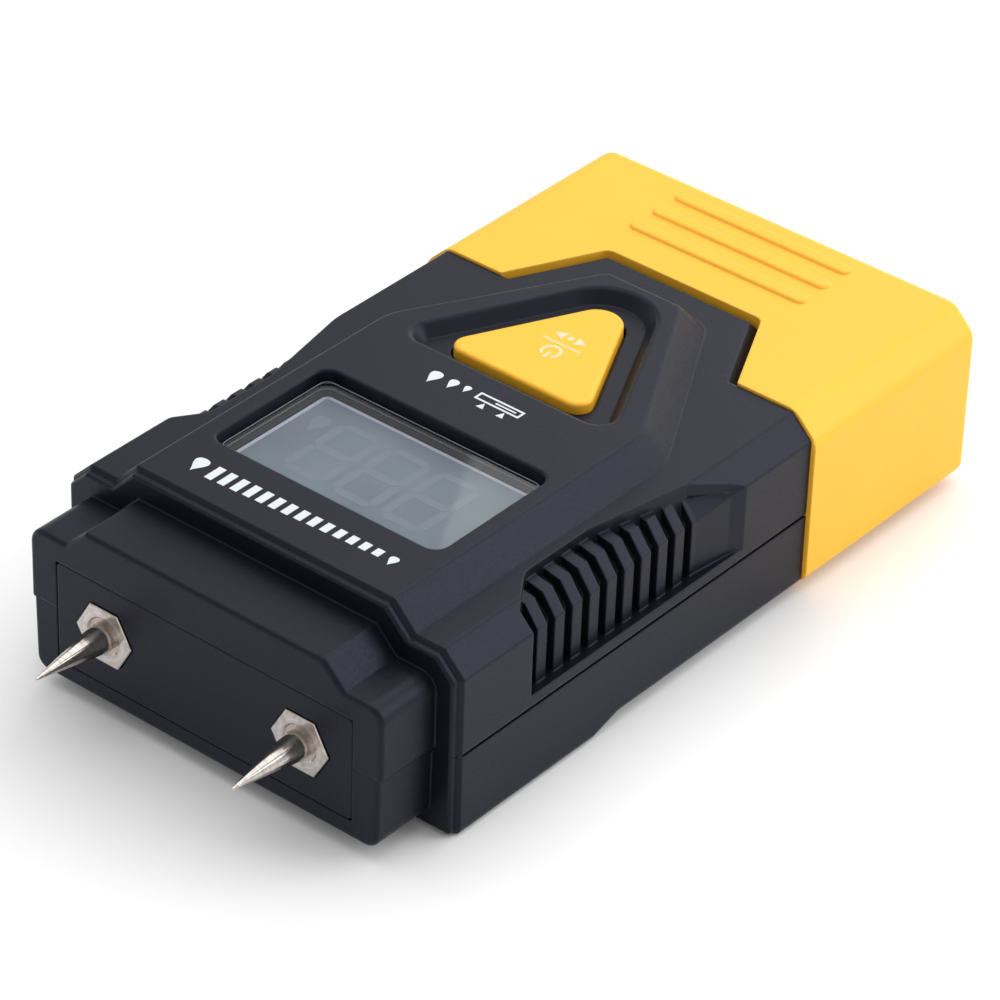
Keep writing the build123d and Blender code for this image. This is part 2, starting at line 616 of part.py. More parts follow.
def plate_opening():
    """Opening in the neck's front wall for the electrode plate."""
    gap = FIT
    return block(-PLATE_HALF_W - gap, PLATE_HALF_W + gap, -1, NECK_FRONT_WALL + 1,
                 PLATE_LOW_Z - gap, PLATE_HIGH_Z + gap)


def bosses(solid):
    """Adds the upper half's screw bosses, each with its bore."""
    for x, y in CASE_SCREWS:
        solid = solid + rod_z(BOSS_R, x, y, PARTING_Z, ROOF_Z + 0.4)
        solid = solid - rod_z(SCREW_R, x, y, PARTING_Z - 1, PARTING_Z + SCREW_BORE)
    for x, y in BOARD_SCREWS:
        solid = solid + rod_z(BOARD_BOSS_R, x, y, BOARD_TOP_Z, LEDGE_LOW_Z + 0.2)
        solid = solid - rod_z(BOARD_SCREW_R + FIT, x, y, BOARD_TOP_Z - 1, BOARD_TOP_Z + 3.5)
    return solid


def window_cutters():
    """Pocket for the lens, and the sight opening inside its ledge."""
    pocket = RectangleRounded(2 * WINDOW_HALF_W, WINDOW_LENGTH, WINDOW_R)
    sight = RectangleRounded(SIGHT_WIDTH, SIGHT_LENGTH, SIGHT_R)
    cutter = extrude(Pos(0, WINDOW_MID_Y, LEDGE_Z) * pocket, amount=FAR)
    return cutter + extrude(Pos(0, WINDOW_MID_Y, LEDGE_LOW_Z - 1) * sight, amount=FAR)


def dish_cutter():
    """Sloping-sided triangular hollow round the button."""
    slope = BUTTON_HALF_W / BUTTON_LENGTH
    side = DISH_SIDE * (1 + slope ** 2) ** 0.5
    half_w = BUTTON_HALF_W + side + DISH_FRONT * slope
    rim = triangle(BUTTON_FRONT_Y - DISH_FRONT, half_w, half_w / slope, DISH_CORNER_R,
                   DISH_POINT_R, PLATEAU_Z)
    return extrude(rim, amount=-DISH_DEPTH, taper=DISH_TAPER)


def soften_rims(solid):
    """Rounds the rims of the window pocket and the dish where they meet the plateau's top."""
    for place, radius in enumerate([WINDOW_RIM_R, DISH_RIM_R]):
        top = solid.faces().sort_by(Axis.Z)[-1]
        rim = top.inner_wires().sort_by(Axis.Y)[place]
        solid = fillet(rim.edges(), radius)
    return solid


def upper_shell():
    """Upper half of the case with window, button dish, grips, screw bosses and cell well."""
    solid = case_outside(False)
    solid = solid - both_sides(grip_cutter()) - both_sides(seam_cutter())
    solid = solid - upper_space() - plate_opening()
    solid = bosses(solid)
    solid = solid + (cell_well(WELL_R + WELL_WALL, PARTING_Z, WELL_TOP_Z + WELL_ROOF) & sleeve_room())
    solid = solid - cell_well(WELL_R, PARTING_Z - 1, WELL_TOP_Z)
    solid = solid - block(-SLIT_HALF_W, SLIT_HALF_W, CELL_Y - WELL_R - 2, CELL_Y,
                          WELL_TOP_Z - CONTACT_THICK - CONTACT_SLIT_GAP, WELL_TOP_Z)
    solid = soften_rims(solid - window_cutters() - dish_cutter())
    solid = solid - extrude(grown_triangle(BUTTON_GAP, BUTTON_WEB_Z - 1), amount=FAR)
    well = grown_triangle(BUTTON_FLANGE + BUTTON_GAP, ROOF_Z - 0.5)
    return solid - extrude(well, amount=BUTTON_WEB_Z - ROOF_Z + 0.5)


def lower_shell():
    """Lower half of the case with its foot pad, screw bosses, label recess and cell floor."""
    solid = case_outside(True)
    solid = solid - lower_space() - plate_opening()
    for x, y in CASE_SCREWS:
        solid = solid + rod_z(BOSS_R + 0.3, x, y, 0, PARTING_Z)
        solid = solid - rod_z(SCREW_R + SCREW_CLEARANCE, x, y, -2, PARTING_Z + 1)
        solid = solid - rod_z(SCREW_HEAD_R + SCREW_CLEARANCE, x, y, -3, SCREW_SEAT_Z)
    solid = solid + (cell_well(WELL_R + WELL_WALL, SLEEVE_FLOOR_Z - 0.2, PARTING_Z) & sleeve_room())
    solid = solid - cell_well(WELL_R, SLEEVE_FLOOR_Z, PARTING_Z + 1)
    solid = solid - block(-SLIT_HALF_W, SLIT_HALF_W, CELL_Y - WELL_R - 2, CELL_Y,
                          SLEEVE_FLOOR_Z, SLEEVE_FLOOR_Z + CONTACT_THICK + CONTACT_SLIT_GAP)
    return solid - label_block(LABEL_GAP, 0)


def label_block(grow, lift):
    """Plain rating label under the case; grow gives the recess for it."""
    length = LABEL_REAR_Y - LABEL_FRONT_Y + 2 * grow
    face = RectangleRounded(LABEL_WIDTH + 2 * grow, length, LABEL_CORNER_R)
    low = BELLY_Z - 0.3 * grow + lift
    return extrude(Pos(0, (LABEL_FRONT_Y + LABEL_REAR_Y) / 2, low) * face, amount=LABEL_THICK + grow)


# ---- End cover -------------------------------------------------------------------------------------
def end_cover():
    """Slide-off end cover with a notched top and thumb ribs."""
    solid = along_y(cap_section(0), COVER_FRONT_Y, CASE_LENGTH)
    rear = solid.faces().sort_by(Axis.Y)[-1]
    solid = fillet(rear.edges(), COVER_CORNER_R)
    solid = solid - along_y(cap_section(COVER_WALL), COVER_FRONT_Y - 1, CASE_LENGTH - COVER_WALL)
    solid = solid - tongue(0, COVER_TOP_Z - COVER_WALL - 1, COVER_TOP_Z + 2)
    for i in range(RIB_COUNT):
        y = CASE_LENGTH - RIB_REAR_MARGIN - i * RIB_PITCH
        bar = Pos(0, y, COVER_TOP_Z - 0.3) * SlotOverall(RIB_LENGTH, RIB_WIDTH)
        bar = extrude(bar, amount=RIB_HEIGHT + 0.3)
        bar = fillet(bar.faces().sort_by(Axis.Z)[-1].edges(), 0.9 * RIB_HEIGHT)
        solid = solid + bar
    return solid


# ---- Button and switch -----------------------------------------------------------------------------
def set_button():
    """Triangular push button with its retaining flange and pusher."""
    cap = extrude(grown_triangle(0, BUTTON_WEB_Z - 0.5), amount=BUTTON_TOP_Z - BUTTON_WEB_Z + 0.5)
    cap = fillet(cap.faces().sort_by(Axis.Z)[-1].edges(), BUTTON_EDGE_R)
    flange_z = BUTTON_WEB_Z - FIT - BUTTON_FLANGE_THICK
    flange = extrude(grown_triangle(BUTTON_FLANGE, flange_z), amount=BUTTON_FLANGE_THICK)
    hollow = extrude(grown_triangle(-BUTTON_WALL, BUTTON_WEB_Z - 2),
                     amount=BUTTON_TOP_Z - BUTTON_WEB_Z + 2 - BUTTON_WALL - 0.1)
    pusher = rod_z(PUSHER_R, 0, BUTTON_Y, PLUNGER_TOP_Z + PLUNGER_REST, BUTTON_TOP_Z - 1)
    return cap + flange - hollow + pusher


def tact_switch():
    """Square key switch body on the board."""
    half = SWITCH_SIZE / 2
    solid = block(-half, half, BUTTON_Y - half, BUTTON_Y + half, BOARD_TOP_Z, SWITCH_TOP_Z)
    solid = chamfer(solid.edges().filter_by(Axis.Z), 0.4)
    return solid - rod_z(PLUNGER_R + 0.1, 0, BUTTON_Y, SWITCH_TOP_Z - 2, SWITCH_TOP_Z + 1)


def switch_plunger():
    """Moving key of the switch."""
    return rod_z(PLUNGER_R, 0, BUTTON_Y, SWITCH_TOP_Z - 1.2, PLUNGER_TOP_Z)


# ---- Display ---------------------------------------------------------------------------------------
def window_lens():
    """Clear lens with bevelled upper edge."""
    face = RectangleRounded(2 * LENS_HALF_W, LENS_LENGTH, WINDOW_R - LENS_GAP)
    solid = extrude(Pos(0, WINDOW_MID_Y, LEDGE_Z + GASKET_THICK) * face, amount=LENS_THICK)
    return chamfer(solid.faces().sort_by(Axis.Z)[-1].edges(), LENS_BEVEL)


def lens_gasket():
    """Thin adhesive frame under the lens."""
    outer = RectangleRounded(2 * LENS_HALF_W, LENS_LENGTH, WINDOW_R - LENS_GAP)
    inner = RectangleRounded(SIGHT_WIDTH, SIGHT_LENGTH, SIGHT_R)
    return extrude(Pos(0, WINDOW_MID_Y, LEDGE_Z) * (outer - inner), amount=GASKET_THICK)


def lcd_glass():
    """Liquid crystal cell."""
    return block(-LCD_HALF_W, LCD_HALF_W, LCD_FRONT_Y, LCD_REAR_Y, LCD_LOW_Z, LCD_TOP_Z)


def lcd_holder():
    """Frame that holds the display on the board."""
    gap = HOLDER_GAP
    hole = block(-LCD_HALF_W - gap, LCD_HALF_W + gap, LCD_FRONT_Y - gap, LCD_REAR_Y + gap,
                 BOARD_TOP_Z - 1, LCD_TOP_Z + 1)
    side = LCD_HALF_W + gap + HOLDER_SIDE_WALL
    end = gap + HOLDER_WALL
    outer = block(-side, side, LCD_FRONT_Y - end, LCD_REAR_Y + end,
                  BOARD_TOP_Z, LCD_TOP_Z - HOLDER_DROP)
    return outer - hole


def lcd_contact_strips():
    """Two elastomer strips between the board and the display."""
    half = LCD_HALF_W - STRIP_MARGIN
    front = LCD_FRONT_Y + STRIP_INSET
    rear = LCD_REAR_Y - STRIP_INSET
    strip = block(-half, half, front, front + STRIP_WIDTH, BOARD_TOP_Z, LCD_LOW_Z)
    return strip + block(-half, half, rear - STRIP_WIDTH, rear, BOARD_TOP_Z, LCD_LOW_Z)


# ---- Board -----------------------------------------------------------------------------------------
def main_board():
    """Circuit board with screw holes."""
    solid = block(-BOARD_HALF_W, BOARD_HALF_W, BOARD_FRONT_Y, BOARD_REAR_Y, BOARD_LOW_Z, BOARD_TOP_Z)
    for x, y in BOARD_SCREWS:
        solid = solid - rod_z(BOARD_HOLE_R, x, y, BOARD_LOW_Z - 1, BOARD_TOP_Z + 1)
    return solid


def controller_chip():
    """Controller in a flat package under the board."""
    half = CHIP_SIZE / 2
    solid = block(-half, half, WINDOW_MID_Y - half, WINDOW_MID_Y + half,
                  BOARD_LOW_Z - CHIP_THICK, BOARD_LOW_Z)
    return chamfer(solid.faces().sort_by(Axis.Z)[0].edges(), 0.2)


def board_components():
    """Small chip components in a row under the board."""
    half = COMPONENT_WIDTH / 2
    parts = []
    for i in range(COMPONENT_COUNT):
        x = (i - (COMPONENT_COUNT - 1) / 2) * COMPONENT_PITCH
        parts.append(block(x - half, x + half, BUTTON_FRONT_Y, BUTTON_FRONT_Y + COMPONENT_LENGTH,
                           BOARD_LOW_Z - COMPONENT_THICK, BOARD_LOW_Z))
    return Compound(parts)


def screw(x, y, head_z, head_r, head_h, shank_r, length):
    """Pan head screw driven upwards, with a cross recess in its head."""
    solid = rod_z(head_r, x, y, head_z - head_h, head_z)
    low = solid.faces().sort_by(Axis.Z)[0]
    solid = fillet(low.edges(), 0.45 * head_h)
    solid = solid + rod_z(shank_r, x, y, head_z, head_z + length)
    slot = 0.6 * head_r
    half = RECESS_WIDTH / 2
    deep = head_z - 0.45 * head_h
    solid = solid - block(x - slot, x + slot, y - half, y + half, head_z - head_h - 1, deep)
    return solid - block(x - half, x + half, y - slot, y + slot, head_z - head_h - 1, deep)


def case_screws():
    """Screws that clamp the two case halves."""
    return Compound([screw(x, y, SCREW_SEAT_Z, SCREW_HEAD_R, SCREW_HEAD_H, SCREW_R - FIT, SCREW_LENGTH)
                     for x, y in CASE_SCREWS])


def board_screws():
    """Screws that hold the board to the upper half."""
    return Compound([screw(x, y, BOARD_LOW_Z, BOARD_SCREW_HEAD_R, BOARD_SCREW_HEAD_H, BOARD_SCREW_R,
                           BOARD_SCREW_LENGTH) for x, y in BOARD_SCREWS])


# ---- Electrodes ------------------------------------------------------------------------------------
def electrode_plate():
    """Insulating plate that carries both electrodes."""
    solid = block(-PLATE_HALF_W, PLATE_HALF_W, 0, PLATE_FACE_THICK, PLATE_LOW_Z, PLATE_HIGH_Z)
    solid = fillet(solid.edges().filter_by(Axis.Y), PLATE_CORNER_R)
    solid = chamfer(solid.faces().sort_by(Axis.Y)[0].edges(), PLATE_BEVEL)
    wide = PLATE_HALF_W + PLATE_FLANGE
    solid = solid + block(-wide, wide, NECK_FRONT_WALL + FIT, PLATE_THICK, PLATE_LOW_Z - PLATE_FLANGE + 0.1,
                          PLATE_HIGH_Z + PLATE_FLANGE)
    for x in (-PIN_SPACING / 2, PIN_SPACING / 2):
        solid = solid + rod_y(PLATE_BOSS_R, x, PIN_Z, PLATE_THICK - 0.1, INSERT_LENGTH)
        solid = solid - rod_y(INSERT_R + SKIN, x, PIN_Z, HEX_SEAT_Y, INSERT_LENGTH + 1)
        solid = solid - along_y(Pos(x, PIN_Z) * hexagon(HEX_GAP), -1, HEX_SEAT_Y)
    return solid


def hexagon(grow):
    """Hexagon with flats at top and bottom, larger by grow on every side."""
    return RegularPolygon(HEX_ACROSS_FLATS / 2 + grow, 6, major_radius=False)


def electrode_pin(side):
    """Pointed steel electrode with hexagon body, turned dimple and threaded shank."""
    x = side * PIN_SPACING / 2
    body = along_y(hexagon(0), -HEX_PROUD, HEX_SEAT_Y)
    body = chamfer(body.faces().sort_by(Axis.Y)[0].edges(), 0.08)
    dimple = Rot(90, 0, 0) * Cone(PIN_COLLAR_R, PIN_COLLAR_R + DIMPLE_FLARE, DIMPLE_DEPTH)
    body = body - Pos(0, -HEX_PROUD, 0) * dimple
    length = PIN_REACH - HEX_PROUD
    root = HEX_PROUD + 0.3
    profile = outline([(0, root), (PIN_BASE_R, root), (PIN_BASE_R, -THREAD_NECK),
                       (PIN_TIP_R, 0.1 - length), (0, -length)])
    point = Pos(0, -HEX_PROUD, 0) * revolve(profile, axis=Axis.Y)
    shank = rod_y(SHANK_R, 0, 0, HEX_SEAT_Y - 0.5, SHANK_LENGTH)
    return Pos(x, 0, PIN_Z) * (body + point + shank)


def electrode_insert(side):
    """Brass threaded insert for one electrode."""
    x = side * PIN_SPACING / 2
    solid = rod_y(INSERT_R, x, PIN_Z, HEX_SEAT_Y + SKIN, INSERT_LENGTH)
    return solid - rod_y(SHANK_R + FIT, x, PIN_Z, 0, INSERT_LENGTH + 1)


def electrode_lead(side):
    """Spring strip from one insert up to the board."""
    x = side * PIN_SPACING / 2
    half = LEAD_WIDTH / 2
    y0 = INSERT_LENGTH + SKIN
    high = BOARD_TOP_Z + CONTACT_THICK
    upright = block(x - half, x + half, y0, y0 + CONTACT_THICK, PIN_Z - LEAD_LOW, high)
    foot = block(x - half, x + half, y0, BOARD_FRONT_Y + LEAD_FOOT, BOARD_TOP_Z, high)
    return upright + foot


# ---- Battery ---------------------------------------------------------------------------------------
def coin_cells():
    """Stack of coin cells in the sleeve."""
    cells = []
    for i in range(CELL_COUNT):
        z0 = CELL_LOW_Z + i * CELL_THICK
        can = rod_z(CELL_R, 0, CELL_Y, z0 + SKIN, z0 + CELL_THICK - CELL_CAP_STEP)
        can = fillet(can.faces().sort_by(Axis.Z)[0].edges(), CELL_EDGE_R)
        cells.append(can + rod_z(CELL_R - CELL_CAP_INSET, 0, CELL_Y, z0 + 1, z0 + CELL_THICK - SKIN))
    return Compound(cells)


def battery_contact_lower():
    """Spring strip under the cells, brought up in front of the well to the board."""
    front = CELL_Y - WELL_R - CONTACT_STAND
    z0 = SLEEVE_FLOOR_Z
    half = CONTACT_HALF_W
    foot = block(-half, half, front, CELL_Y + CONTACT_REACH, z0, z0 + CONTACT_THICK - SKIN)
    riser = block(-half, half, front, front + CONTACT_THICK, z0, BOARD_LOW_Z)
    hook_z = BOARD_LOW_Z - CONTACT_THICK
    hook = block(-half, half, CONTACT_END_Y, front + CONTACT_THICK, hook_z, BOARD_LOW_Z)
    return foot + riser + hook


def battery_contact_upper():
    """Leaf above the cells, brought forward to the board."""
    z1 = WELL_TOP_Z - SKIN
    half = CONTACT_HALF_W
    step_y = CELL_Y - WELL_R - CONTACT_STAND
    leaf = block(-half, half, step_y, CELL_Y + CONTACT_REACH, z1 - CONTACT_THICK, z1)
    riser = block(-half, half, step_y, step_y + CONTACT_THICK, BOARD_TOP_Z, z1)
    tail_z = BOARD_TOP_Z + CONTACT_THICK
    tail = block(-half, half, CONTACT_END_Y, step_y + CONTACT_THICK, BOARD_TOP_Z, tail_z)
    return leaf + riser + tail


PARTS = {
    "upper_shell": upper_shell,
    "lower_shell": lower_shell,
    "end_cover": end_cover,
    "set_button": set_button,
    "window_lens": window_lens,
    "lens_gasket": lens_gasket,
    "lcd_glass": lcd_glass,
    "lcd_holder": lcd_holder,
    "lcd_contact_strips": lcd_contact_strips,
    "main_board": main_board,
    "controller_chip": controller_chip,
    "board_components": board_components,
    "tact_switch": tact_switch,
    "switch_plunger": switch_plunger,
    "case_screws": case_screws,
    "board_screws": board_screws,
    "electrode_plate": electrode_plate,
    "electrode_pin_left": lambda: electrode_pin(-1),
    "electrode_pin_right": lambda: electrode_pin(1),
    "electrode_insert_left": lambda: electrode_insert(-1),
    "electrode_insert_right": lambda: electrode_insert(1),
    "electrode_lead_left": lambda: electrode_lead(-1),
    "electrode_lead_right": lambda: electrode_lead(1),
    "coin_cells": coin_cells,
    "battery_contact_lower": battery_contact_lower,
    "battery_contact_upper": battery_contact_upper,
    "back_label": lambda: label_block(0, SKIN),
}

for name, make in PARTS.items():
    export_step(ROW_PLACE * make(), f"parts/{name}.step")
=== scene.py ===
"""Looks of a pocket moisture meter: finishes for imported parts, printed marks, display film and stage."""
import math
from collections import namedtuple

import bmesh
import bpy
import numpy as np
from bpy.props import FloatProperty, FloatVectorProperty, IntProperty, PointerProperty
from mathutils import Euler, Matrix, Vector


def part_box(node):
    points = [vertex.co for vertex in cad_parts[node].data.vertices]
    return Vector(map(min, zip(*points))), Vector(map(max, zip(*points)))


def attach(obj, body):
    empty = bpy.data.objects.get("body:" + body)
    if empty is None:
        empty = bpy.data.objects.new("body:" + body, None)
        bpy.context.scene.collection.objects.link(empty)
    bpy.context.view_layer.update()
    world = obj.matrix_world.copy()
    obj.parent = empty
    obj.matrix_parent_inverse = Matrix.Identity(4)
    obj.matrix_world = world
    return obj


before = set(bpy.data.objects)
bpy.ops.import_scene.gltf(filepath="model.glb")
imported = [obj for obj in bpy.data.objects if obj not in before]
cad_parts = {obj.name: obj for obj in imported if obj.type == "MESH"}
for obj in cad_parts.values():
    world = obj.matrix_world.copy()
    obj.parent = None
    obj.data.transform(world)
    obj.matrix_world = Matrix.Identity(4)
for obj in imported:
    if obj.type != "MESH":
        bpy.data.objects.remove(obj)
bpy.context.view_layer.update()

bl_info = {
    "name": "Pocket Moisture Meter",
    "version": (1, 0, 0),
    "blender": (4, 5, 0),
    "location": "View3D > Sidebar > Meter",
    "description": "Finishes, printed marks, display and studio for a pocket moisture meter",
    "category": "Object",
}

MM = 0.001
METRE_MM = 1000.0
CAMERA_TURN = tuple(math.radians(angle) for angle in (55.4198, -1.5970, 39.8821))
CLIP_NEAR, CLIP_FAR = 0.01, 20.0

# Moulded plastic: radius of its edges, size of its slow drift in tone, how much of the edge colour
# (painted
# light: a highlight on the case and cover, shade on the button) and of the polish shows on them, and how
# far the grain moves the roughness
EDGE_RADIUS_MM = 0.28
DRIFT_MM = 14.0
EDGE_MIX_SHARE = 0.35
EDGE_POLISH = 0.3
GRAIN_SMOOTHER, GRAIN_ROUGHER = 0.05, 0.06
ABS_IOR = 1.53
ACRYLIC_IOR = 1.49
# Width of the painted highlight on the window's rim
RIM_HIGHLIGHT_MM = 0.3

# Inner parts: how far their pattern moves the roughness, and how deep it is
PLAIN_ROUGHNESS_RANGE = 0.06
PLAIN_DEPTH_MM = 0.01

# Turned steel: a feed mark's width along the point for each one across the hexagon's face, and the widths
# of the fine marks and of the wide bands
POINT_FEED = 1.3
FEED_MM = 0.16
BAND_MM = 0.55

# Places of the printed marks and of the display's layers
SCALE_AHEAD_MM = 4.4
SYMBOL_BEHIND_MM = 5.6
SYMBOL_ASIDE_MM = 0.2
BUTTON_MARK_FROM_TIP_MM = 8.4
FILM_CORNER_MM = 0.7
FILM_GAP_MM = 0.03
BEAD_SINK_MM, BEAD_RISE_MM = 0.05, 0.02
SEGMENT_HALF_MM = 0.01
SEGMENT_GAP_MM = 0.12
DIGIT_PLACES_MM = (-6.2, -0.2, 5.8)
POINT_PLACE_MM = 2.8
POINT_SIDE_MM = 0.9
TIP_HALF_MM = 0.02
ARROW_TIP_MM = 0.01

# Stage
FLOOR_HALF = 4.0
PAPER_CLOUD_MM = 40.0
# Softboxes: name, place, side of the square, and the setting that holds the power
SOFTBOXES = (
    ("top_softbox", (-0.10, 0.10, 0.75), 0.9, "top_light"),
    ("rear_softbox", (-0.08, 0.68, 0.44), 0.8, "rear_light"),
    ("side_softbox", (0.56, 0.49, 0.42), 0.6, "side_light"),
)

# A plain finish: two close sRGB tones over one pattern of this size, and the nodes that wear it
Finish = namedtuple("Finish", "name first second roughness metallic pattern_mm nodes")

ELECTRODE_FINISHES = (
    # Free-cutting brass, turned: a warm yellow metal.
    Finish("turned_brass", "B08D4A", "9C7A3C", 0.3, 1.0, 0.3,
           ("electrode_insert_left", "electrode_insert_right")),
    # Tin-plated spring brass, stamped from strip: a paler metal with a soft shine.
    Finish("plated_spring_brass", "C9BFA2", "B8AC8C", 0.28, 1.0, 0.6,
           ("electrode_lead_left", "electrode_lead_right", "battery_contact_lower",
            "battery_contact_upper")),
)
DISPLAY_FINISHES = (
    # Adhesive foam, die-cut: matt and nearly black, with open cells.
    Finish("foam_tape", "17171A", "202024", 0.85, 0.0, 0.2, ("lens_gasket",)),
    # Soda-lime glass, polished: dark grey and glossy.
    Finish("display_glass", "59605F", "505756", 0.12, 0.0, 4.0, ("lcd_glass",)),
    # Nylon, moulded: warm white and satin.
    Finish("white_nylon", "DCDCD6", "D2D2CA", 0.5, 0.0, 0.5, ("lcd_holder",)),
    # Silicone rubber with carbon layers, sliced: grey, matt and finely striped.
    Finish("silicone_rubber", "8E9096", "5A5C62", 0.7, 0.0, 0.12, ("lcd_contact_strips",)),
)
INNER_FINISHES = (
    # Solder resist over glass-fibre board: glossy green.
    Finish("solder_resist", "1F5A36", "1A4E2F", 0.3, 0.0, 2.0, ("main_board",)),
    # Epoxy with silica, moulded: dull black.
    Finish("moulded_epoxy", "222326", "1B1C1F", 0.55, 0.0, 0.15,
           ("controller_chip", "board_components", "tact_switch")),
    # Acetal, moulded: a waxy dark grey.
    Finish("moulded_acetal", "2E3036", "27292E", 0.45, 0.0, 0.3, ("switch_plunger",)),
    # Steel, zinc plated and passivated: a bluish grey metal.
    Finish("zinc_plated_steel", "B4B6BA", "9EA0A6", 0.3, 1.0, 0.4, ("case_screws", "board_screws")),
    # Nickel-plated steel can, drawn: a bright grey metal.
    Finish("stamped_steel_can", "C4C5C8", "B2B3B7", 0.24, 1.0, 0.7, ("coin_cells",)),
    # Polyester label film, calendered: silver grey and satin.
    Finish("satin_label_film", "A9ADB2", "A0A4A9", 0.42, 0.0, 3.0, ("back_label",)),
)


# ---- Small helpers -----------------------------------------------------------------------------
def linear(code):
    """An sRGB hex colour as linear red, green and blue."""
    values = [int(code[i:i + 2], 16) / 255 for i in (0, 2, 4)]
    return tuple(v / 12.92 if v <= 0.04045 else ((v + 0.055) / 1.055) ** 2.4 for v in values)


def per(size_mm):
    """Texture scale that gives a pattern of this size on coordinates in metres."""
    return 1 / (size_mm * MM)


def add(tree, kind, inputs=None, **settings):
    """Adds one node. Settings are its own properties. Inputs are values, or sockets that feed them."""
    node = tree.nodes.new(kind)
    for name, value in settings.items():
        setattr(node, name, value)
    for name, value in (inputs or {}).items():
        socket = node.inputs[name]
        if isinstance(value, bpy.types.NodeSocket):
            tree.links.new(value, socket)
        else:
            socket.default_value = (*value, 1) if socket.type == "RGBA" else value
    return node


def start(name):
    """A new material, its empty tree and the object coordinates that its patterns use."""
    material = bpy.data.materials.new(name)
    material.use_nodes = True
    tree = material.node_tree
    tree.nodes.clear()
    return material, tree, add(tree, "ShaderNodeTexCoord").outputs["Object"]


def clouds(tree, place, size_mm, low=0.0, high=1.0, detail=2.0, middle=(0.3, 0.7)):
    """Cloudy pattern with features of this size: first as it is, then with its middle range stretched
    to run from low to high."""
    pattern = add(tree, "ShaderNodeTexNoise",
                  {"Vector": place, "Scale": per(size_mm), "Detail": detail}).outputs[0]
    stretched = add(tree, "ShaderNodeMapRange",
                    {"Value": pattern, "From Min": middle[0], "From Max": middle[1],
                     "To Min": low, "To Max": high}).outputs[0]
    return pattern, stretched


def soft_edges(tree, radius_mm):
    """Normal rounded over a small radius, and a mask that is 1 on the edges it rounds."""
    soft = add(tree, "ShaderNodeBevel", {"Radius": radius_mm * MM}, samples=6).outputs[0]
    flat = add(tree, "ShaderNodeNewGeometry").outputs["Normal"]
    same = add(tree, "ShaderNodeVectorMath", {0: soft, 1: flat}, operation="DOT_PRODUCT")
    mask = add(tree, "ShaderNodeMapRange",
               {"Value": same.outputs["Value"], "From Min": 1.0, "From Max": 0.9})
    return soft, mask.outputs[0]


def paint(material, *nodes):
    """Gives CAD nodes this material in every slot."""
    for name in nodes:
        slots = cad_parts[name].data.materials
        slots.clear()
        slots.append(material)


# ---- Finishes ----------------------------------------------------------------------------------
def moulded_plastic(name, colour, shade, edge, roughness, grain_mm, grain_depth_mm, gloss, sheen):
    """Injection-moulded plastic: tone drifts over the part, a spark-eroded mould leaves a fine grain,
    and edges are a little rounded and polished by handling. Their colour is mixed towards the edge colour,
    which is painted light: a painted highlight on the case and cover, painted shade on the button.
    Gloss and sheen are the reflection's strength and tint."""
    material, tree, place = start(name)
    normal, rim = soft_edges(tree, EDGE_RADIUS_MM)
    drift = clouds(tree, place, DRIFT_MM)[1]
    grain, rough = clouds(tree, place, grain_mm, roughness - GRAIN_SMOOTHER,
                          roughness + GRAIN_ROUGHER, detail=3.0)
    body = add(tree, "ShaderNodeMix", {0: drift, 6: colour, 7: shade}, data_type="RGBA").outputs[2]
    # The edges are mixed towards the edge colour: a painted highlight on the case and cover, painted shade
    # on the button.
    edge_mix = add(tree, "ShaderNodeMath", {0: rim, 1: EDGE_MIX_SHARE}, operation="MULTIPLY").outputs[0]
    body = add(tree, "ShaderNodeMix", {0: edge_mix, 6: body, 7: edge}, data_type="RGBA").outputs[2]
    rough = add(tree, "ShaderNodeMath", {0: edge_mix, 1: -EDGE_POLISH, 2: rough},
                operation="MULTIPLY_ADD").outputs[0]
    bump = add(tree, "ShaderNodeBump", {"Height": grain, "Strength": 0.35, "Normal": normal,
                                        "Distance": grain_depth_mm * MM}).outputs[0]
    shader = add(tree, "ShaderNodeBsdfPrincipled",
                 {"Base Color": body, "Roughness": rough, "Normal": bump, "IOR": ABS_IOR,
                  "Specular IOR Level": gloss, "Specular Tint": sheen})
    add(tree, "ShaderNodeOutputMaterial", {"Surface": shader.outputs[0]})
    return material


def black_abs(looks):
    """ABS coloured with carbon black, moulded in a spark-eroded tool. The eye sees a dark, slightly blue
    satin with a fine sparkle. Its 0.12 mm grain is drawn at 0.3 mm, or it wouldn't show."""
    # The edge colour is a painted highlight on the case's edges.
    return moulded_plastic("moulded_black_abs", looks.black, looks.black_shade, looks.black_edge_highlight,
                           roughness=0.4, grain_mm=0.3, grain_depth_mm=0.02, gloss=0.23,
                           sheen=looks.black_sheen)


def yellow_abs(looks, name, edge):
    """ABS in a warm yellow from a smoother tool. The eye sees an even satin that goes orange in its
    shade. Its 0.2 mm grain is drawn at 0.4 mm, or it wouldn't show."""
    # The edge colour is painted light: a painted highlight on the cover, painted shade on the button.
    return moulded_plastic(name, looks.yellow, looks.yellow_shade, edge, roughness=0.42,
                           grain_mm=0.4, grain_depth_mm=0.012, gloss=0.3, sheen=linear("FFFFFF"))


def pad_print(name, colour):
    """Pad-printing ink: matt and opaque, with tiny pinholes where the mould grain shows through."""
    material, tree, place = start(name)
    cover = clouds(tree, place, 0.16, low=0.86, middle=(0.3, 0.45))[1]
    thin = tuple(0.55 * c for c in colour)
    ink = add(tree, "ShaderNodeMix", {0: cover, 6: thin, 7: colour}, data_type="RGBA").outputs[2]
    shader = add(tree, "ShaderNodeBsdfPrincipled", {"Base Color": ink, "Roughness": 0.6,
                                                    "Specular IOR Level": 0.25})
    add(tree, "ShaderNodeOutputMaterial", {"Surface": shader.outputs[0]})
    return material


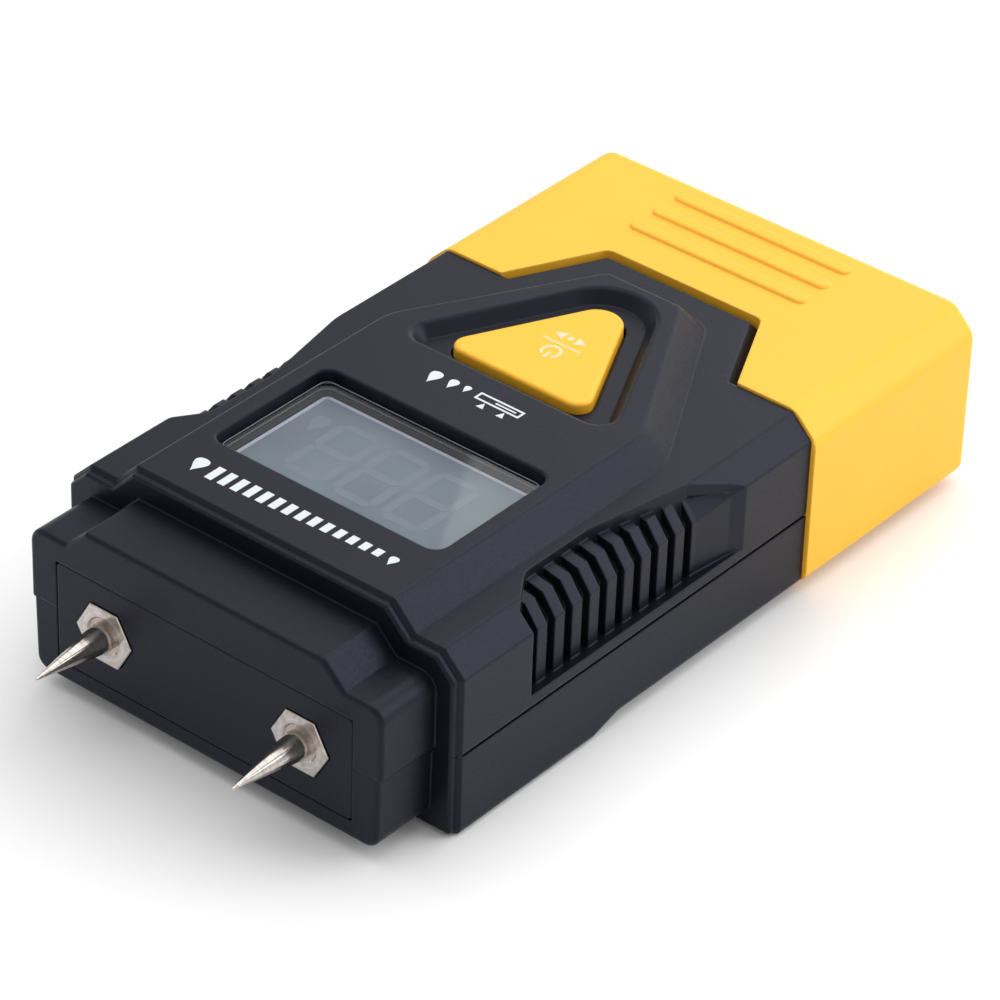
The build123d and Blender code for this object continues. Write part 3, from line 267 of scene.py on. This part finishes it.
def clear_acrylic(looks):
    """Polished acrylic window: nearly colourless, with a sharp reflection that grows at low angles, and a
    pale diffuse line on its rim, a painted highlight. Light passes straight through its thin wall and only
    its outer face reflects, so the display below isn't darkened."""
    material, tree, place = start("polished_clear_acrylic")
    ripple = add(tree, "ShaderNodeTexNoise", {"Vector": place, "Scale": per(6.0), "Detail": 1.0})
    wave = add(tree, "ShaderNodeBump", {"Height": ripple.outputs[0], "Strength": 0.02,
                                        "Distance": 0.05 * MM}).outputs[0]
    rim = soft_edges(tree, RIM_HIGHLIGHT_MM)[1]
    clear = add(tree, "ShaderNodeBsdfTransparent", {"Color": looks.lens_tint})
    gloss = add(tree, "ShaderNodeBsdfGlossy", {"Color": linear("FFFFFF"), "Roughness": 0.03,
                                               "Normal": wave})
    fresnel = add(tree, "ShaderNodeFresnel", {"IOR": ACRYLIC_IOR}).outputs[0]
    inside = add(tree, "ShaderNodeNewGeometry").outputs["Backfacing"]
    outside = add(tree, "ShaderNodeMath", {0: 1.0, 1: inside}, operation="SUBTRACT").outputs[0]
    share = add(tree, "ShaderNodeMath", {0: fresnel, 1: outside}, operation="MULTIPLY").outputs[0]
    face = add(tree, "ShaderNodeMixShader", {0: share, 1: clear.outputs[0], 2: gloss.outputs[0]})
    # Painted highlight: a pale diffuse line on the rim stands in for the light the lens edge catches
    rim_highlight = add(tree, "ShaderNodeBsdfDiffuse", {"Color": looks.lens_rim_highlight})
    rim_highlight_share = add(tree, "ShaderNodeMath", {0: rim, 1: 0.9}, operation="MULTIPLY").outputs[0]
    whole = add(tree, "ShaderNodeMixShader",
                {0: rim_highlight_share, 1: face.outputs[0], 2: rim_highlight.outputs[0]})
    add(tree, "ShaderNodeOutputMaterial", {"Surface": whole.outputs[0]})
    return material


def display_film(looks):
    """Liquid-crystal polariser, rolled film over a brushed reflector: the eye sees a cool grey that
    drifts a little, with a fine streak in its shine."""
    material, tree, place = start("lcd_polariser_film")
    cloud = clouds(tree, place, 7.0, detail=1.0)[1]
    # The mapping already scales the place to the streaks, so their pattern's own size is a metre.
    streak = add(tree, "ShaderNodeMapping", {"Vector": place,
                                             "Scale": (per(2.4), per(0.09), per(1.0))}).outputs[0]
    rough = clouds(tree, streak, METRE_MM, low=0.3, high=0.4, detail=1.0)[1]
    tone = add(tree, "ShaderNodeMix", {0: cloud, 6: looks.lcd, 7: looks.lcd_shade},
               data_type="RGBA").outputs[2]
    shader = add(tree, "ShaderNodeBsdfPrincipled", {"Base Color": tone, "Roughness": rough,
                                                    "Specular IOR Level": 0.2})
    add(tree, "ShaderNodeOutputMaterial", {"Surface": shader.outputs[0]})
    return material


def plain(name, first, second, roughness, metallic, pattern_mm):
    """Shared build of the small parts' finishes: two close tones over one pattern, which is also their
    bump."""
    material, tree, place = start(name)
    pattern, share = clouds(tree, place, pattern_mm, detail=3.0)
    tone = add(tree, "ShaderNodeMix", {0: share, 6: first, 7: second}, data_type="RGBA").outputs[2]
    rough = add(tree, "ShaderNodeMapRange",
                {"Value": share, "To Min": roughness - PLAIN_ROUGHNESS_RANGE,
                 "To Max": roughness + PLAIN_ROUGHNESS_RANGE}).outputs[0]
    bump = add(tree, "ShaderNodeBump", {"Height": pattern, "Strength": 0.3,
                                        "Distance": PLAIN_DEPTH_MM * MM}).outputs[0]
    shader = add(tree, "ShaderNodeBsdfPrincipled", {"Base Color": tone, "Metallic": metallic,
                                                    "Normal": bump, "Roughness": rough})
    add(tree, "ShaderNodeOutputMaterial", {"Surface": shader.outputs[0]})
    return material


def paint_all(finishes):
    """Makes each finish of a table and gives it to its nodes."""
    for finish in finishes:
        paint(plain(finish.name, linear(finish.first), linear(finish.second), finish.roughness,
                    finish.metallic, finish.pattern_mm), *finish.nodes)


def turned_steel(looks):
    """Nickel-plated free-cutting steel, turned on a lathe: rings round each electrode's axis on the
    hexagon's face, and fine feed marks along the point. The 0.05 mm feed is drawn at 0.16 mm, or it
    wouldn't show."""
    material, tree, place = start("turned_nickel_steel")
    part = add(tree, "ShaderNodeSeparateXYZ", {0: place})
    low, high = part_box("electrode_pin_right")
    side = add(tree, "ShaderNodeMath", {0: part.outputs[0]}, operation="ABSOLUTE").outputs[0]
    across = add(tree, "ShaderNodeMath", {0: side, 1: (low.x + high.x) / 2}, operation="SUBTRACT")
    up = add(tree, "ShaderNodeMath", {0: part.outputs[2], 1: (low.z + high.z) / 2},
             operation="SUBTRACT")
    flat = add(tree, "ShaderNodeCombineXYZ", {0: across.outputs[0], 1: up.outputs[0]})
    radius = add(tree, "ShaderNodeVectorMath", {0: flat.outputs[0]}, operation="LENGTH")
    feed = add(tree, "ShaderNodeMath",
               {0: part.outputs[1], 1: POINT_FEED, 2: radius.outputs["Value"]},
               operation="MULTIPLY_ADD").outputs[0]
    rings = add(tree, "ShaderNodeTexNoise", {"W": feed, "Scale": per(FEED_MM), "Detail": 2.0},
                noise_dimensions="1D").outputs[0]
    bands = add(tree, "ShaderNodeTexNoise", {"W": feed, "Scale": per(BAND_MM), "Detail": 1.0},
                noise_dimensions="1D").outputs[0]
    band = add(tree, "ShaderNodeMapRange", {"Value": bands, "From Min": 0.3, "From Max": 0.7})
    stain = clouds(tree, place, 0.8, high=0.35, detail=3.0, middle=(0.5, 0.7))[1]
    tone = add(tree, "ShaderNodeMix", {0: band.outputs[0], 6: looks.steel, 7: looks.steel_shade},
               data_type="RGBA").outputs[2]
    tone = add(tree, "ShaderNodeMix", {0: stain, 6: tone, 7: looks.steel_stain},
               data_type="RGBA").outputs[2]
    bump = add(tree, "ShaderNodeBump", {"Height": rings, "Strength": 0.06,
                                        "Distance": 0.02 * MM}).outputs[0]
    rough = add(tree, "ShaderNodeMapRange", {"Value": rings, "From Min": 0.3, "From Max": 0.7,
                                             "To Min": 0.11, "To Max": 0.18}).outputs[0]
    shader = add(tree, "ShaderNodeBsdfPrincipled", {"Base Color": tone, "Metallic": 1.0,
                                                    "Roughness": rough, "Normal": bump})
    add(tree, "ShaderNodeOutputMaterial", {"Surface": shader.outputs[0]})
    return material


# ---- Printed marks -----------------------------------------------------------------------------
# A mark is a ribbon: two edges, left and right, each an array of (u, v) points in millimetres, and whether
# its ends join. u runs to the reader's right and v upwards, for a reader behind the meter, so u is -X and
# v is -Y.
def bar(u, low, high, width):
    """Upright stroke: two straight edges half a width either side of u, from low to high."""
    v = np.array([low, high])
    left = np.stack([np.full(2, u - width / 2), v], 1)
    right = np.stack([np.full(2, u + width / 2), v], 1)
    return left, right, False


def rule(v, low, high, width):
    """Level stroke: two straight edges half a width either side of v, from low to high in u."""
    u = np.array([low, high])
    left = np.stack([u, np.full(2, v + width / 2)], 1)
    right = np.stack([u, np.full(2, v - width / 2)], 1)
    return left, right, False


def droplet(u, v, height, width):
    """Teardrop: height follows the cosine of t, and half the width is about sin(t) times the square of
    sin(t/2), scaled so that the widest place is the width."""
    t = np.linspace(0.02, math.pi - 0.02, 33)
    half = width / 1.3 * np.sin(t) * np.sin(t / 2) ** 2
    level = v + height / 2 * np.cos(t)
    return np.stack([u - half, level], 1), np.stack([u + half, level], 1), False


def arc(u, v, radius, width, first, last):
    """Curved stroke: two arcs of radius plus and minus half a width, over one range of angle in
    degrees."""
    t = np.radians(np.linspace(first, last, 41))
    ray = np.stack([np.cos(t), np.sin(t)], 1)
    centre = np.array([u, v])
    return centre + (radius + width / 2) * ray, centre + (radius - width / 2) * ray, False


def wedge(u0, u1, v, height):
    """Triangle on its side: half the height at u0 shrinks evenly to a point at u1."""
    u = np.array([u0, u1])
    half = np.array([height / 2, ARROW_TIP_MM])
    return np.stack([u, v + half], 1), np.stack([u, v - half], 1), False


def tooth(u, top, tip, half):
    """Triangle that stands on its point: half a width at the top shrinks evenly to a point at the tip."""
    left = np.array([(u - half, top), (u - TIP_HALF_MM, tip)])
    right = np.array([(u + half, top), (u + TIP_HALF_MM, tip)])
    return left, right, False


def panel(u, v, width, height, stroke):
    """Rectangular line: outer and inner corners, joined round in a closed loop."""
    corners = np.array([(-1, -1), (1, -1), (1, 1), (-1, 1)]) / 2
    outer = corners * (width, height) + (u, v)
    inner = corners * (width - 2 * stroke, height - 2 * stroke) + (u, v)
    return outer, inner, True


def ring(width, height, radius, stroke):
    """Closed line inside a rounded rectangle: each corner is a quarter circle of the radius, and the
    inner edge follows it a stroke further in."""
    turn = np.radians(np.linspace(0, 90, 7))
    loops = []
    for inset in (0, stroke):
        parts = []
        for quarter, (x, y) in enumerate([(1, 1), (-1, 1), (-1, -1), (1, -1)]):
            middle = np.array([x * (width / 2 - radius), y * (height / 2 - radius)])
            angle = turn + quarter * math.pi / 2
            reach = radius - inset
            parts.append(middle + reach * np.stack([np.cos(angle), np.sin(angle)], 1))
        loops.append(np.concatenate(parts))
    return loops[0], loops[1], True


def rounded(width, height, radius):
    """Filled rectangle with quarter-circle corners: near each end, half the width shrinks by the radius
    less the cosine of the angle, while the height grows by its sine."""
    turn = np.radians(np.linspace(90, 0, 9))
    half = width / 2 - radius + radius * np.cos(turn)
    level = height / 2 - radius + radius * np.sin(turn)
    half = np.concatenate([half, half[::-1]])
    level = np.concatenate([-level, level[::-1]])
    return np.stack([-half, level], 1), np.stack([half, level], 1), False


def segment(u, v, length, width, upright):
    """Display segment: a stroke whose ends taper to points over half its width."""
    along = np.array([0, width / 2, length - width / 2, length]) - length / 2
    half = np.array([TIP_HALF_MM, width / 2, width / 2, TIP_HALF_MM])
    if upright:
        return np.stack([u - half, v + along], 1), np.stack([u + half, v + along], 1), False
    return np.stack([u + along, v + half], 1), np.stack([u + along, v - half], 1), False


def ribbons(name, shapes, centre, low, high, body, material):
    """Builds flat marks as closed slabs: each station of a ribbon carries a four-cornered section from
    low to high, neighbouring sections are joined by quads, and open ends are capped."""
    points, faces, count = [], [], 0
    for left, right, closed in shapes:
        n = len(left)
        edges = np.stack([left, left, right, right], 1) * MM
        grid = np.empty((n, 4, 3))
        grid[..., 0] = centre[0] - edges[..., 0]
        grid[..., 1] = centre[1] - edges[..., 1]
        grid[..., 2] = np.array([low, high, high, low])
        points.append(grid.reshape(-1, 3))
        i, j = np.meshgrid(np.arange(n if closed else n - 1), np.arange(4), indexing="ij")
        after, beside = (i + 1) % n, (j + 1) % 4
        quads = np.stack([4 * i + j, 4 * after + j, 4 * after + beside, 4 * i + beside], -1)
        quads = quads.reshape(-1, 4)
        if not closed:
            caps = np.array([[0, 1, 2, 3], [4 * n - 1, 4 * n - 2, 4 * n - 3, 4 * n - 4]])
            quads = np.concatenate([quads, caps])
        faces.append(quads + count)
        count += 4 * n
    return new_piece(name, np.concatenate(points), np.concatenate(faces), body, material)


def new_piece(name, points, faces, body, material):
    """Puts arrays of points and quads into a mesh whose faces point outwards, and lets it ride on its
    body."""
    mesh = bpy.data.meshes.new(name)
    mesh.from_pydata(points.tolist(), [], faces.tolist())
    shape = bmesh.new()
    shape.from_mesh(mesh)
    bmesh.ops.recalc_face_normals(shape, faces=shape.faces)
    shape.to_mesh(mesh)
    shape.free()
    mesh.materials.append(material)
    piece = bpy.data.objects.new(name, mesh)
    bpy.context.scene.collection.objects.link(piece)
    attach(piece, body)
    return piece


# ---- Sizes and colours -------------------------------------------------------------------------
def a_colour(name, description, code):
    """A colour that the user can change."""
    return FloatVectorProperty(name=name, description=description, default=linear(code), size=3,
                               subtype="COLOR", min=0.0, max=1.0)


def a_length(name, description, millimetres):
    """A length that the user can change."""
    return FloatProperty(name=name, description=description, default=millimetres * MM,
                         unit="LENGTH", precision=5)


def a_power(name, description, watts):
    """A light's power that the user can change."""
    return FloatProperty(name=name, description=description, default=watts, min=0.0, unit="POWER")


class MeterLooks(bpy.types.PropertyGroup):
    """Colours of the meter's finishes, with the painted highlights and painted shade on some edges and
    rims.
    """

    black: a_colour("Black ABS", "Case mouldings", "0F1016")
    black_shade: a_colour("Black ABS drift", "Second tone of the case mouldings", "0D0F14")
    # Painted highlight: the lighter tone mixed onto the case's edges
    black_edge_highlight: a_colour("Black ABS edge", "Painted highlight on the case's edges", "25272E")
    black_sheen: a_colour("Black ABS sheen", "Tint of the case's reflections", "D2D8FF")
    yellow: a_colour("Yellow ABS", "End cover and button", "F9B930")
    yellow_shade: a_colour("Yellow ABS drift", "Second tone of the cover and button", "F8B62D")
    # Painted highlight: the paler tone mixed onto the cover's edges
    yellow_edge_highlight: a_colour("Yellow ABS edge", "Painted highlight on the cover's edges", "FFD778")
    # Painted shade: the darker orange mixed onto the button's edges, which sit in the dish's shade
    button_edge_shade: a_colour("Button edge", "Painted shade on the button's rim", "E8961C")
    ink: a_colour("White ink", "Printed marks on the case", "D3D7DF")
    button_ink: a_colour("Button ink", "Printed mark on the button", "FBD2AE")
    lcd: a_colour("Display film", "Reflective polariser", "758086")
    lcd_shade: a_colour("Display film drift", "Second tone of the polariser", "6B757C")
    lcd_ghost: a_colour("Display segments", "Segments that are switched off", "727C83")
    lens_tint: a_colour("Window tint", "Light that the window lets through", "F8F9FB")
    # Painted highlight: the pale line on the window's rim
    lens_rim_highlight: a_colour("Window edge", "Painted highlight on the window's rim", "B4B6C2")
    # Painted highlight: the pale line round the display film
    bead: a_colour("Display bead", "Painted highlight line round the display", "BEBFCB")
    steel: a_colour("Electrode steel", "Turned and plated electrodes", "CECAC8")
    steel_shade: a_colour("Electrode rings", "Darker turning rings", "B9ADA4")
    steel_stain: a_colour("Electrode stain", "Tarnish on the electrodes", "7D6A5C")


class MeterSizes(bpy.types.PropertyGroup):
    """Sizes of the pieces that are made here."""

    ink_height: a_length("Ink height", "How far the print stands proud", 0.02)
    mark_height: a_length("Mark height", "Height of the printed rows", 2.2)
    scale_width: a_length("Scale width", "Width of the printed scale in front of the window", 24.8)
    scale_bars: IntProperty(name="Scale bars", description="Bars in the printed scale", default=14,
                            min=3, max=40)
    bar_width: a_length("Bar width", "Width of a bar in the printed scale", 0.85)
    # Painted highlight: width of the pale line round the display film
    bead_width: a_length("Bead width", "Width of the painted highlight line round the display", 0.4)
    film_inset: a_length("Film inset", "Display film in from the window's outline", 0.92)
    digit_height: a_length("Digit height", "Height of the display's digits", 8.6)
    digit_width: a_length("Digit width", "Width of a display digit", 4.4)
    segment_width: a_length("Segment width", "Width of a display segment", 0.95)


class MeterStudio(bpy.types.PropertyGroup):
    """Camera and lights."""

    lens: FloatProperty(name="Lens", description="Focal length in millimetres", default=176.97,
                        min=10, unit="CAMERA")
    camera_place: FloatVectorProperty(name="Camera place", description="Where the camera stands",
                                      default=(0.24503, -0.30121, 0.27815), subtype="TRANSLATION",
                                      unit="LENGTH")
    camera_turn: FloatVectorProperty(name="Camera turn", description="Camera's rotation",
                                     subtype="EULER", default=CAMERA_TURN, unit="ROTATION")
    horizon: FloatProperty(name="Horizon light", default=1.0,
                           description="Strength of the room light near the floor")
    zenith: FloatProperty(name="Zenith light", default=0.4,
                          description="Strength of the room light overhead")
    top_light: a_power("Top light", "Power of the overhead softbox in watts", 3.8)
    rear_light: a_power("Rear light", "Power of the rear left softbox in watts", 2.0)
    side_light: a_power("Side light", "Power of the right softbox in watts", 3.0)


# ---- Steps -------------------------------------------------------------------------------------
class METER_OT_case(bpy.types.Operator):
    """Gives the case halves and the electrode plate their moulded black finish"""

    bl_idname = "meter.case"
    bl_label = "Case"

    def execute(self, context):
        paint(black_abs(context.scene.meter_looks), "upper_shell", "lower_shell", "electrode_plate")
        return {"FINISHED"}


class METER_OT_cover(bpy.types.Operator):
    """Gives the end cover and the set button their yellow finish"""

    bl_idname = "meter.cover"
    bl_label = "End cover and button"

    def execute(self, context):
        looks = context.scene.meter_looks
        # The cover's edge colour is a painted highlight.
        paint(yellow_abs(looks, "moulded_yellow_abs", looks.yellow_edge_highlight), "end_cover")
        # The button's edge colour is painted shade.
        paint(yellow_abs(looks, "moulded_yellow_abs_button", looks.button_edge_shade), "set_button")
        return {"FINISHED"}


class METER_OT_electrodes(bpy.types.Operator):
    """Gives the electrodes their turned steel, and their inserts and strips their brass"""

    bl_idname = "meter.electrodes"
    bl_label = "Electrodes"

    def execute(self, context):
        paint(turned_steel(context.scene.meter_looks), "electrode_pin_left", "electrode_pin_right")
        paint_all(ELECTRODE_FINISHES)
        return {"FINISHED"}


class METER_OT_display(bpy.types.Operator):
    """Gives the window and display their finishes, and adds the polariser, a pale line round it as a
    painted highlight, and its segments
    """

    bl_idname = "meter.display"
    bl_label = "Display"

    def execute(self, context):
        looks, sizes = context.scene.meter_looks, context.scene.meter_sizes
        paint(clear_acrylic(looks), "window_lens")
        paint_all(DISPLAY_FINISHES)
        glass_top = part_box("lcd_glass")[1].z
        low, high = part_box("lens_gasket")
        centre = ((low.x + high.x) / 2, (low.y + high.y) / 2)
        width = (high.x - low.x - 2 * sizes.film_inset) / MM
        depth = (high.y - low.y - 2 * sizes.film_inset) / MM
        top = low.z - FILM_GAP_MM * MM
        ribbons("lcd_film", [rounded(width, depth, FILM_CORNER_MM)], centre, glass_top, top,
                "housing", display_film(looks))
        # Painted highlight: a pale grey line round the film stands in for light caught by the window's
        # lower edge.
        bead = plain("satin_polycarbonate", looks.bead, tuple(0.8 * c for c in looks.bead),
                     roughness=0.3, metallic=0.0, pattern_mm=2.0)
        ribbons("lcd_bead", [ring(width, depth, FILM_CORNER_MM, sizes.bead_width / MM)], centre,
                top - BEAD_SINK_MM * MM, top + BEAD_RISE_MM * MM, "housing", bead)
        # Liquid crystal at rest: hardly darker than the film round it.
        ghost = plain("display_segment", looks.lcd_ghost, looks.lcd_ghost, roughness=0.35,
                      metallic=0.0, pattern_mm=1.0)
        ribbons("lcd_segments", list(segments(sizes)), centre, top - SEGMENT_HALF_MM * MM,
                top + SEGMENT_HALF_MM * MM, "housing", ghost)
        return {"FINISHED"}


def segments(sizes):
    """Shapes of the display: three digits of seven strokes, a droplet and a decimal point."""
    height, width = sizes.digit_height / MM, sizes.digit_width / MM
    thick = sizes.segment_width / MM
    for u in DIGIT_PLACES_MM:
        for side in (-1, 1):
            for level in (-1, 1):
                yield segment(u + side * width / 2, level * height / 4,
                              height / 2 - SEGMENT_GAP_MM, thick, upright=True)
        for level in (-1, 0, 1):
            yield segment(u, level * height / 2, width - SEGMENT_GAP_MM, thick, upright=False)
    yield droplet(10.2, -2.6, height=3.2, width=2.0)
    yield bar(POINT_PLACE_MM, -height / 2 - POINT_SIDE_MM / 2, -height / 2 + POINT_SIDE_MM / 2,
              width=POINT_SIDE_MM)


class METER_OT_inside(bpy.types.Operator):
    """Gives the board, its parts, the screws, cells and rear label their finishes"""

    bl_idname = "meter.inside"
    bl_label = "Inner parts"

    def execute(self, context):
        paint_all(INNER_FINISHES)
        return {"FINISHED"}


class METER_OT_case_marks(bpy.types.Operator):
    """Prints a graduated droplet scale in front of the window and a small board symbol behind it"""

    bl_idname = "meter.case_marks"
    bl_label = "Case marks"

    def execute(self, context):
        looks, sizes = context.scene.meter_looks, context.scene.meter_sizes
        ink = pad_print("white_pad_print", looks.ink)
        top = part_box("upper_shell")[1].z
        window_low, window_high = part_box("window_lens")
        low, high = top - sizes.ink_height, top + sizes.ink_height
        front = (0.0, window_low.y - SCALE_AHEAD_MM * MM)
        ribbons("print_scale", list(scale_marks(sizes)), front, low, high, "housing",
                ink)
        rear = (-SYMBOL_ASIDE_MM * MM, window_high.y + SYMBOL_BEHIND_MM * MM)
        ribbons("print_symbol", list(symbol_marks(sizes)), rear, low, high, "housing",
                ink)
        return {"FINISHED"}


def scale_marks(sizes):
    """A small droplet, bars that grow from half to the full height of the row, and a large droplet."""
    tall, wide = sizes.mark_height / MM, sizes.scale_width / MM
    yield droplet(-wide / 2 + 0.6, -0.35, height=1.5, width=1.0)
    first, last = -wide / 2 + 2.4, wide / 2 - 3.0
    for i in range(sizes.scale_bars):
        share = i / (sizes.scale_bars - 1)
        yield bar(first + (last - first) * share, -tall / 2, tall * (0.5 + 0.5 * share) - tall / 2,
                  sizes.bar_width / MM)
    yield droplet(wide / 2 - 0.85, 0, height=tall + 0.2, width=1.6)


def symbol_marks(sizes):
    """A board with a grain line and two points above it, and three droplets of growing size."""
    tall = sizes.mark_height / MM
    yield panel(-2.9, -0.5, width=5.4, height=1.2, stroke=0.24)
    yield rule(-0.5, -4.9, -2.4, width=0.2)
    for u in (-4.1, -1.7):
        yield tooth(u, tall / 2, 0.25, half=0.42)
    for i, u in enumerate((1.2, 2.8, 4.9)):
        height = tall * (0.55 + 0.225 * i)
        yield droplet(u, (height - tall) / 2, height, 0.62 * height)


class METER_OT_button_mark(bpy.types.Operator):
    """Prints a pale switch symbol, a dividing line and two arrows on the button"""

    bl_idname = "meter.button_mark"
    bl_label = "Button mark"

    def execute(self, context):
        looks, sizes = context.scene.meter_looks, context.scene.meter_sizes
        low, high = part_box("set_button")
        centre = ((low.x + high.x) / 2, low.y + BUTTON_MARK_FROM_TIP_MM * MM)
        ribbons("print_button", list(button_marks()), centre, high.z - sizes.ink_height,
                high.z + sizes.ink_height, "button",
                pad_print("pale_pad_print", looks.button_ink))
        return {"FINISHED"}


def button_marks():
    """A ring with a gap and a stroke above a level line, and a pair of arrows round a dot below it."""
    yield arc(0, 1.75, radius=0.95, width=0.3, first=125, last=415)
    yield bar(0, 1.85, 3.0, width=0.3)
    yield rule(0.15, -2.3, 2.3, width=0.22)
    for side in (-1, 1):
        yield wedge(0.7 * side, 1.9 * side, -1.25, height=1.3)
    yield arc(0, -1.25, radius=0.17, width=0.3, first=0, last=360)


class METER_OT_label_marks(bpy.types.Operator):
    """Prints a frame, ruled fields and a cell polarity symbol on the rear label"""

    bl_idname = "meter.label_marks"
    bl_label = "Label marks"

    def execute(self, context):
        sizes = context.scene.meter_sizes
        low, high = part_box("back_label")
        centre = ((low.x + high.x) / 2, (low.y + high.y) / 2)
        ribbons("print_label", list(label_marks()), centre, low.z - sizes.ink_height / 2,
                low.z + sizes.ink_height / 2, "housing",
                pad_print("black_label_print", linear("26272B")))
        return {"FINISHED"}


def label_marks():
    """A border, four ruled lines and a round cell with its plus and minus."""
    yield panel(0, 0, width=31.0, height=14.6, stroke=0.3)
    for i in range(4):
        yield rule(4.2 - 2.8 * i, -13.0, 3.5 - 2.5 * (i % 2), width=0.5)
    cell = 9.5
    yield arc(cell, 0, radius=4.2, width=0.35, first=0, last=359.9)
    yield rule(1.6, 8.4, 10.6, width=0.35)
    yield bar(cell, 1.95, 2.7, width=0.35)
    yield bar(cell, 0.5, 1.25, width=0.35)
    yield rule(-1.9, 8.4, 10.6, width=0.35)


class METER_OT_studio(bpy.types.Operator):
    """Adds the pale floor, the soft lights and the camera"""

    bl_idname = "meter.studio"
    bl_label = "Studio"

    def execute(self, context):
        scene, studio = context.scene, context.scene.meter_studio
        lay_floor(scene)
        light_room(scene, studio)
        for name, place, side, setting in SOFTBOXES:
            softbox(name, place, side, getattr(studio, setting))
        lens = bpy.data.cameras.new("camera")
        lens.lens = studio.lens
        lens.clip_start, lens.clip_end = CLIP_NEAR, CLIP_FAR
        camera = bpy.data.objects.new("camera", lens)
        camera.location = studio.camera_place
        camera.rotation_euler = Euler(studio.camera_turn)
        scene.collection.objects.link(camera)
        scene.camera = camera
        scene.view_settings.view_transform = "Standard"
        return {"FINISHED"}


def lay_floor(scene):
    """Lays a large square of matt white paper, with a faint drift in its tone, under the meter."""
    mesh = bpy.data.meshes.new("floor")
    corners = FLOOR_HALF * np.array([(-1, -1, 0), (1, -1, 0), (1, 1, 0), (-1, 1, 0)])
    mesh.from_pydata(corners.tolist(), [], [(0, 1, 2, 3)])
    material, tree, place = start("matt_white_paper")
    drift = add(tree, "ShaderNodeTexNoise", {"Vector": place, "Scale": per(PAPER_CLOUD_MM)})
    tone = add(tree, "ShaderNodeMix", {0: drift.outputs[0], 6: linear("F6F6F6"),
                                       7: linear("F3F3F3")}, data_type="RGBA").outputs[2]
    paper = add(tree, "ShaderNodeBsdfDiffuse", {"Color": tone})
    add(tree, "ShaderNodeOutputMaterial", {"Surface": paper.outputs[0]})
    mesh.materials.append(material)
    floor = bpy.data.objects.new("floor", mesh)
    scene.collection.objects.link(floor)


def light_room(scene, studio):
    """White room light that weakens from the floor upwards."""
    world = bpy.data.worlds.new("studio")
    world.use_nodes = True
    tree = world.node_tree
    background = tree.nodes["Background"]
    background.inputs["Color"].default_value = (*linear("FFFFFF"), 1)
    way = add(tree, "ShaderNodeTexCoord").outputs["Generated"]
    height = add(tree, "ShaderNodeSeparateXYZ", {0: way}).outputs[2]
    strength = add(tree, "ShaderNodeMapRange", {"Value": height, "To Min": studio.horizon,
                                                "To Max": studio.zenith}).outputs[0]
    tree.links.new(strength, background.inputs["Strength"])
    scene.world = world


def softbox(name, place, side, power):
    """Square light that faces the middle of the meter."""
    light = bpy.data.lights.new(name, "AREA")
    light.size = side
    light.energy = power
    lamp = bpy.data.objects.new(name, light)
    lamp.location = place
    lamp.rotation_euler = Vector(place).to_track_quat("Z", "Y").to_euler()
    bpy.context.scene.collection.objects.link(lamp)


class METER_PT_steps(bpy.types.Panel):
    """Lists the steps that build the meter's looks"""

    bl_idname = "METER_PT_steps"
    bl_label = "Moisture Meter"
    bl_space_type = "VIEW_3D"
    bl_region_type = "UI"
    bl_category = "Meter"

    def draw(self, context):
        for step in STEPS:
            self.layout.operator(step.bl_idname)
        scene = context.scene
        for group in (scene.meter_looks, scene.meter_sizes, scene.meter_studio):
            column = self.layout.column(align=True)
            for key in group.__annotations__:
                column.prop(group, key)


STEPS = (METER_OT_case, METER_OT_cover, METER_OT_electrodes, METER_OT_display, METER_OT_inside,
         METER_OT_case_marks, METER_OT_button_mark, METER_OT_label_marks, METER_OT_studio)
CLASSES = (MeterLooks, MeterSizes, MeterStudio, *STEPS, METER_PT_steps)


def register():
    """Registers the classes and hangs their settings on the scene."""
    for item in CLASSES:
        bpy.utils.register_class(item)
    bpy.types.Scene.meter_looks = PointerProperty(type=MeterLooks)
    bpy.types.Scene.meter_sizes = PointerProperty(type=MeterSizes)
    bpy.types.Scene.meter_studio = PointerProperty(type=MeterStudio)


def unregister():
    """Takes the settings and classes away again."""
    del bpy.types.Scene.meter_studio
    del bpy.types.Scene.meter_sizes
    del bpy.types.Scene.meter_looks
    for item in reversed(CLASSES):
        bpy.utils.unregister_class(item)


def main():
    """Runs every step."""
    register()
    bpy.ops.meter.case()
    bpy.ops.meter.cover()
    bpy.ops.meter.electrodes()
    bpy.ops.meter.display()
    bpy.ops.meter.inside()
    bpy.ops.meter.case_marks()
    bpy.ops.meter.button_mark()
    bpy.ops.meter.label_marks()
    bpy.ops.meter.studio()


if __name__ == "__main__":
    main()
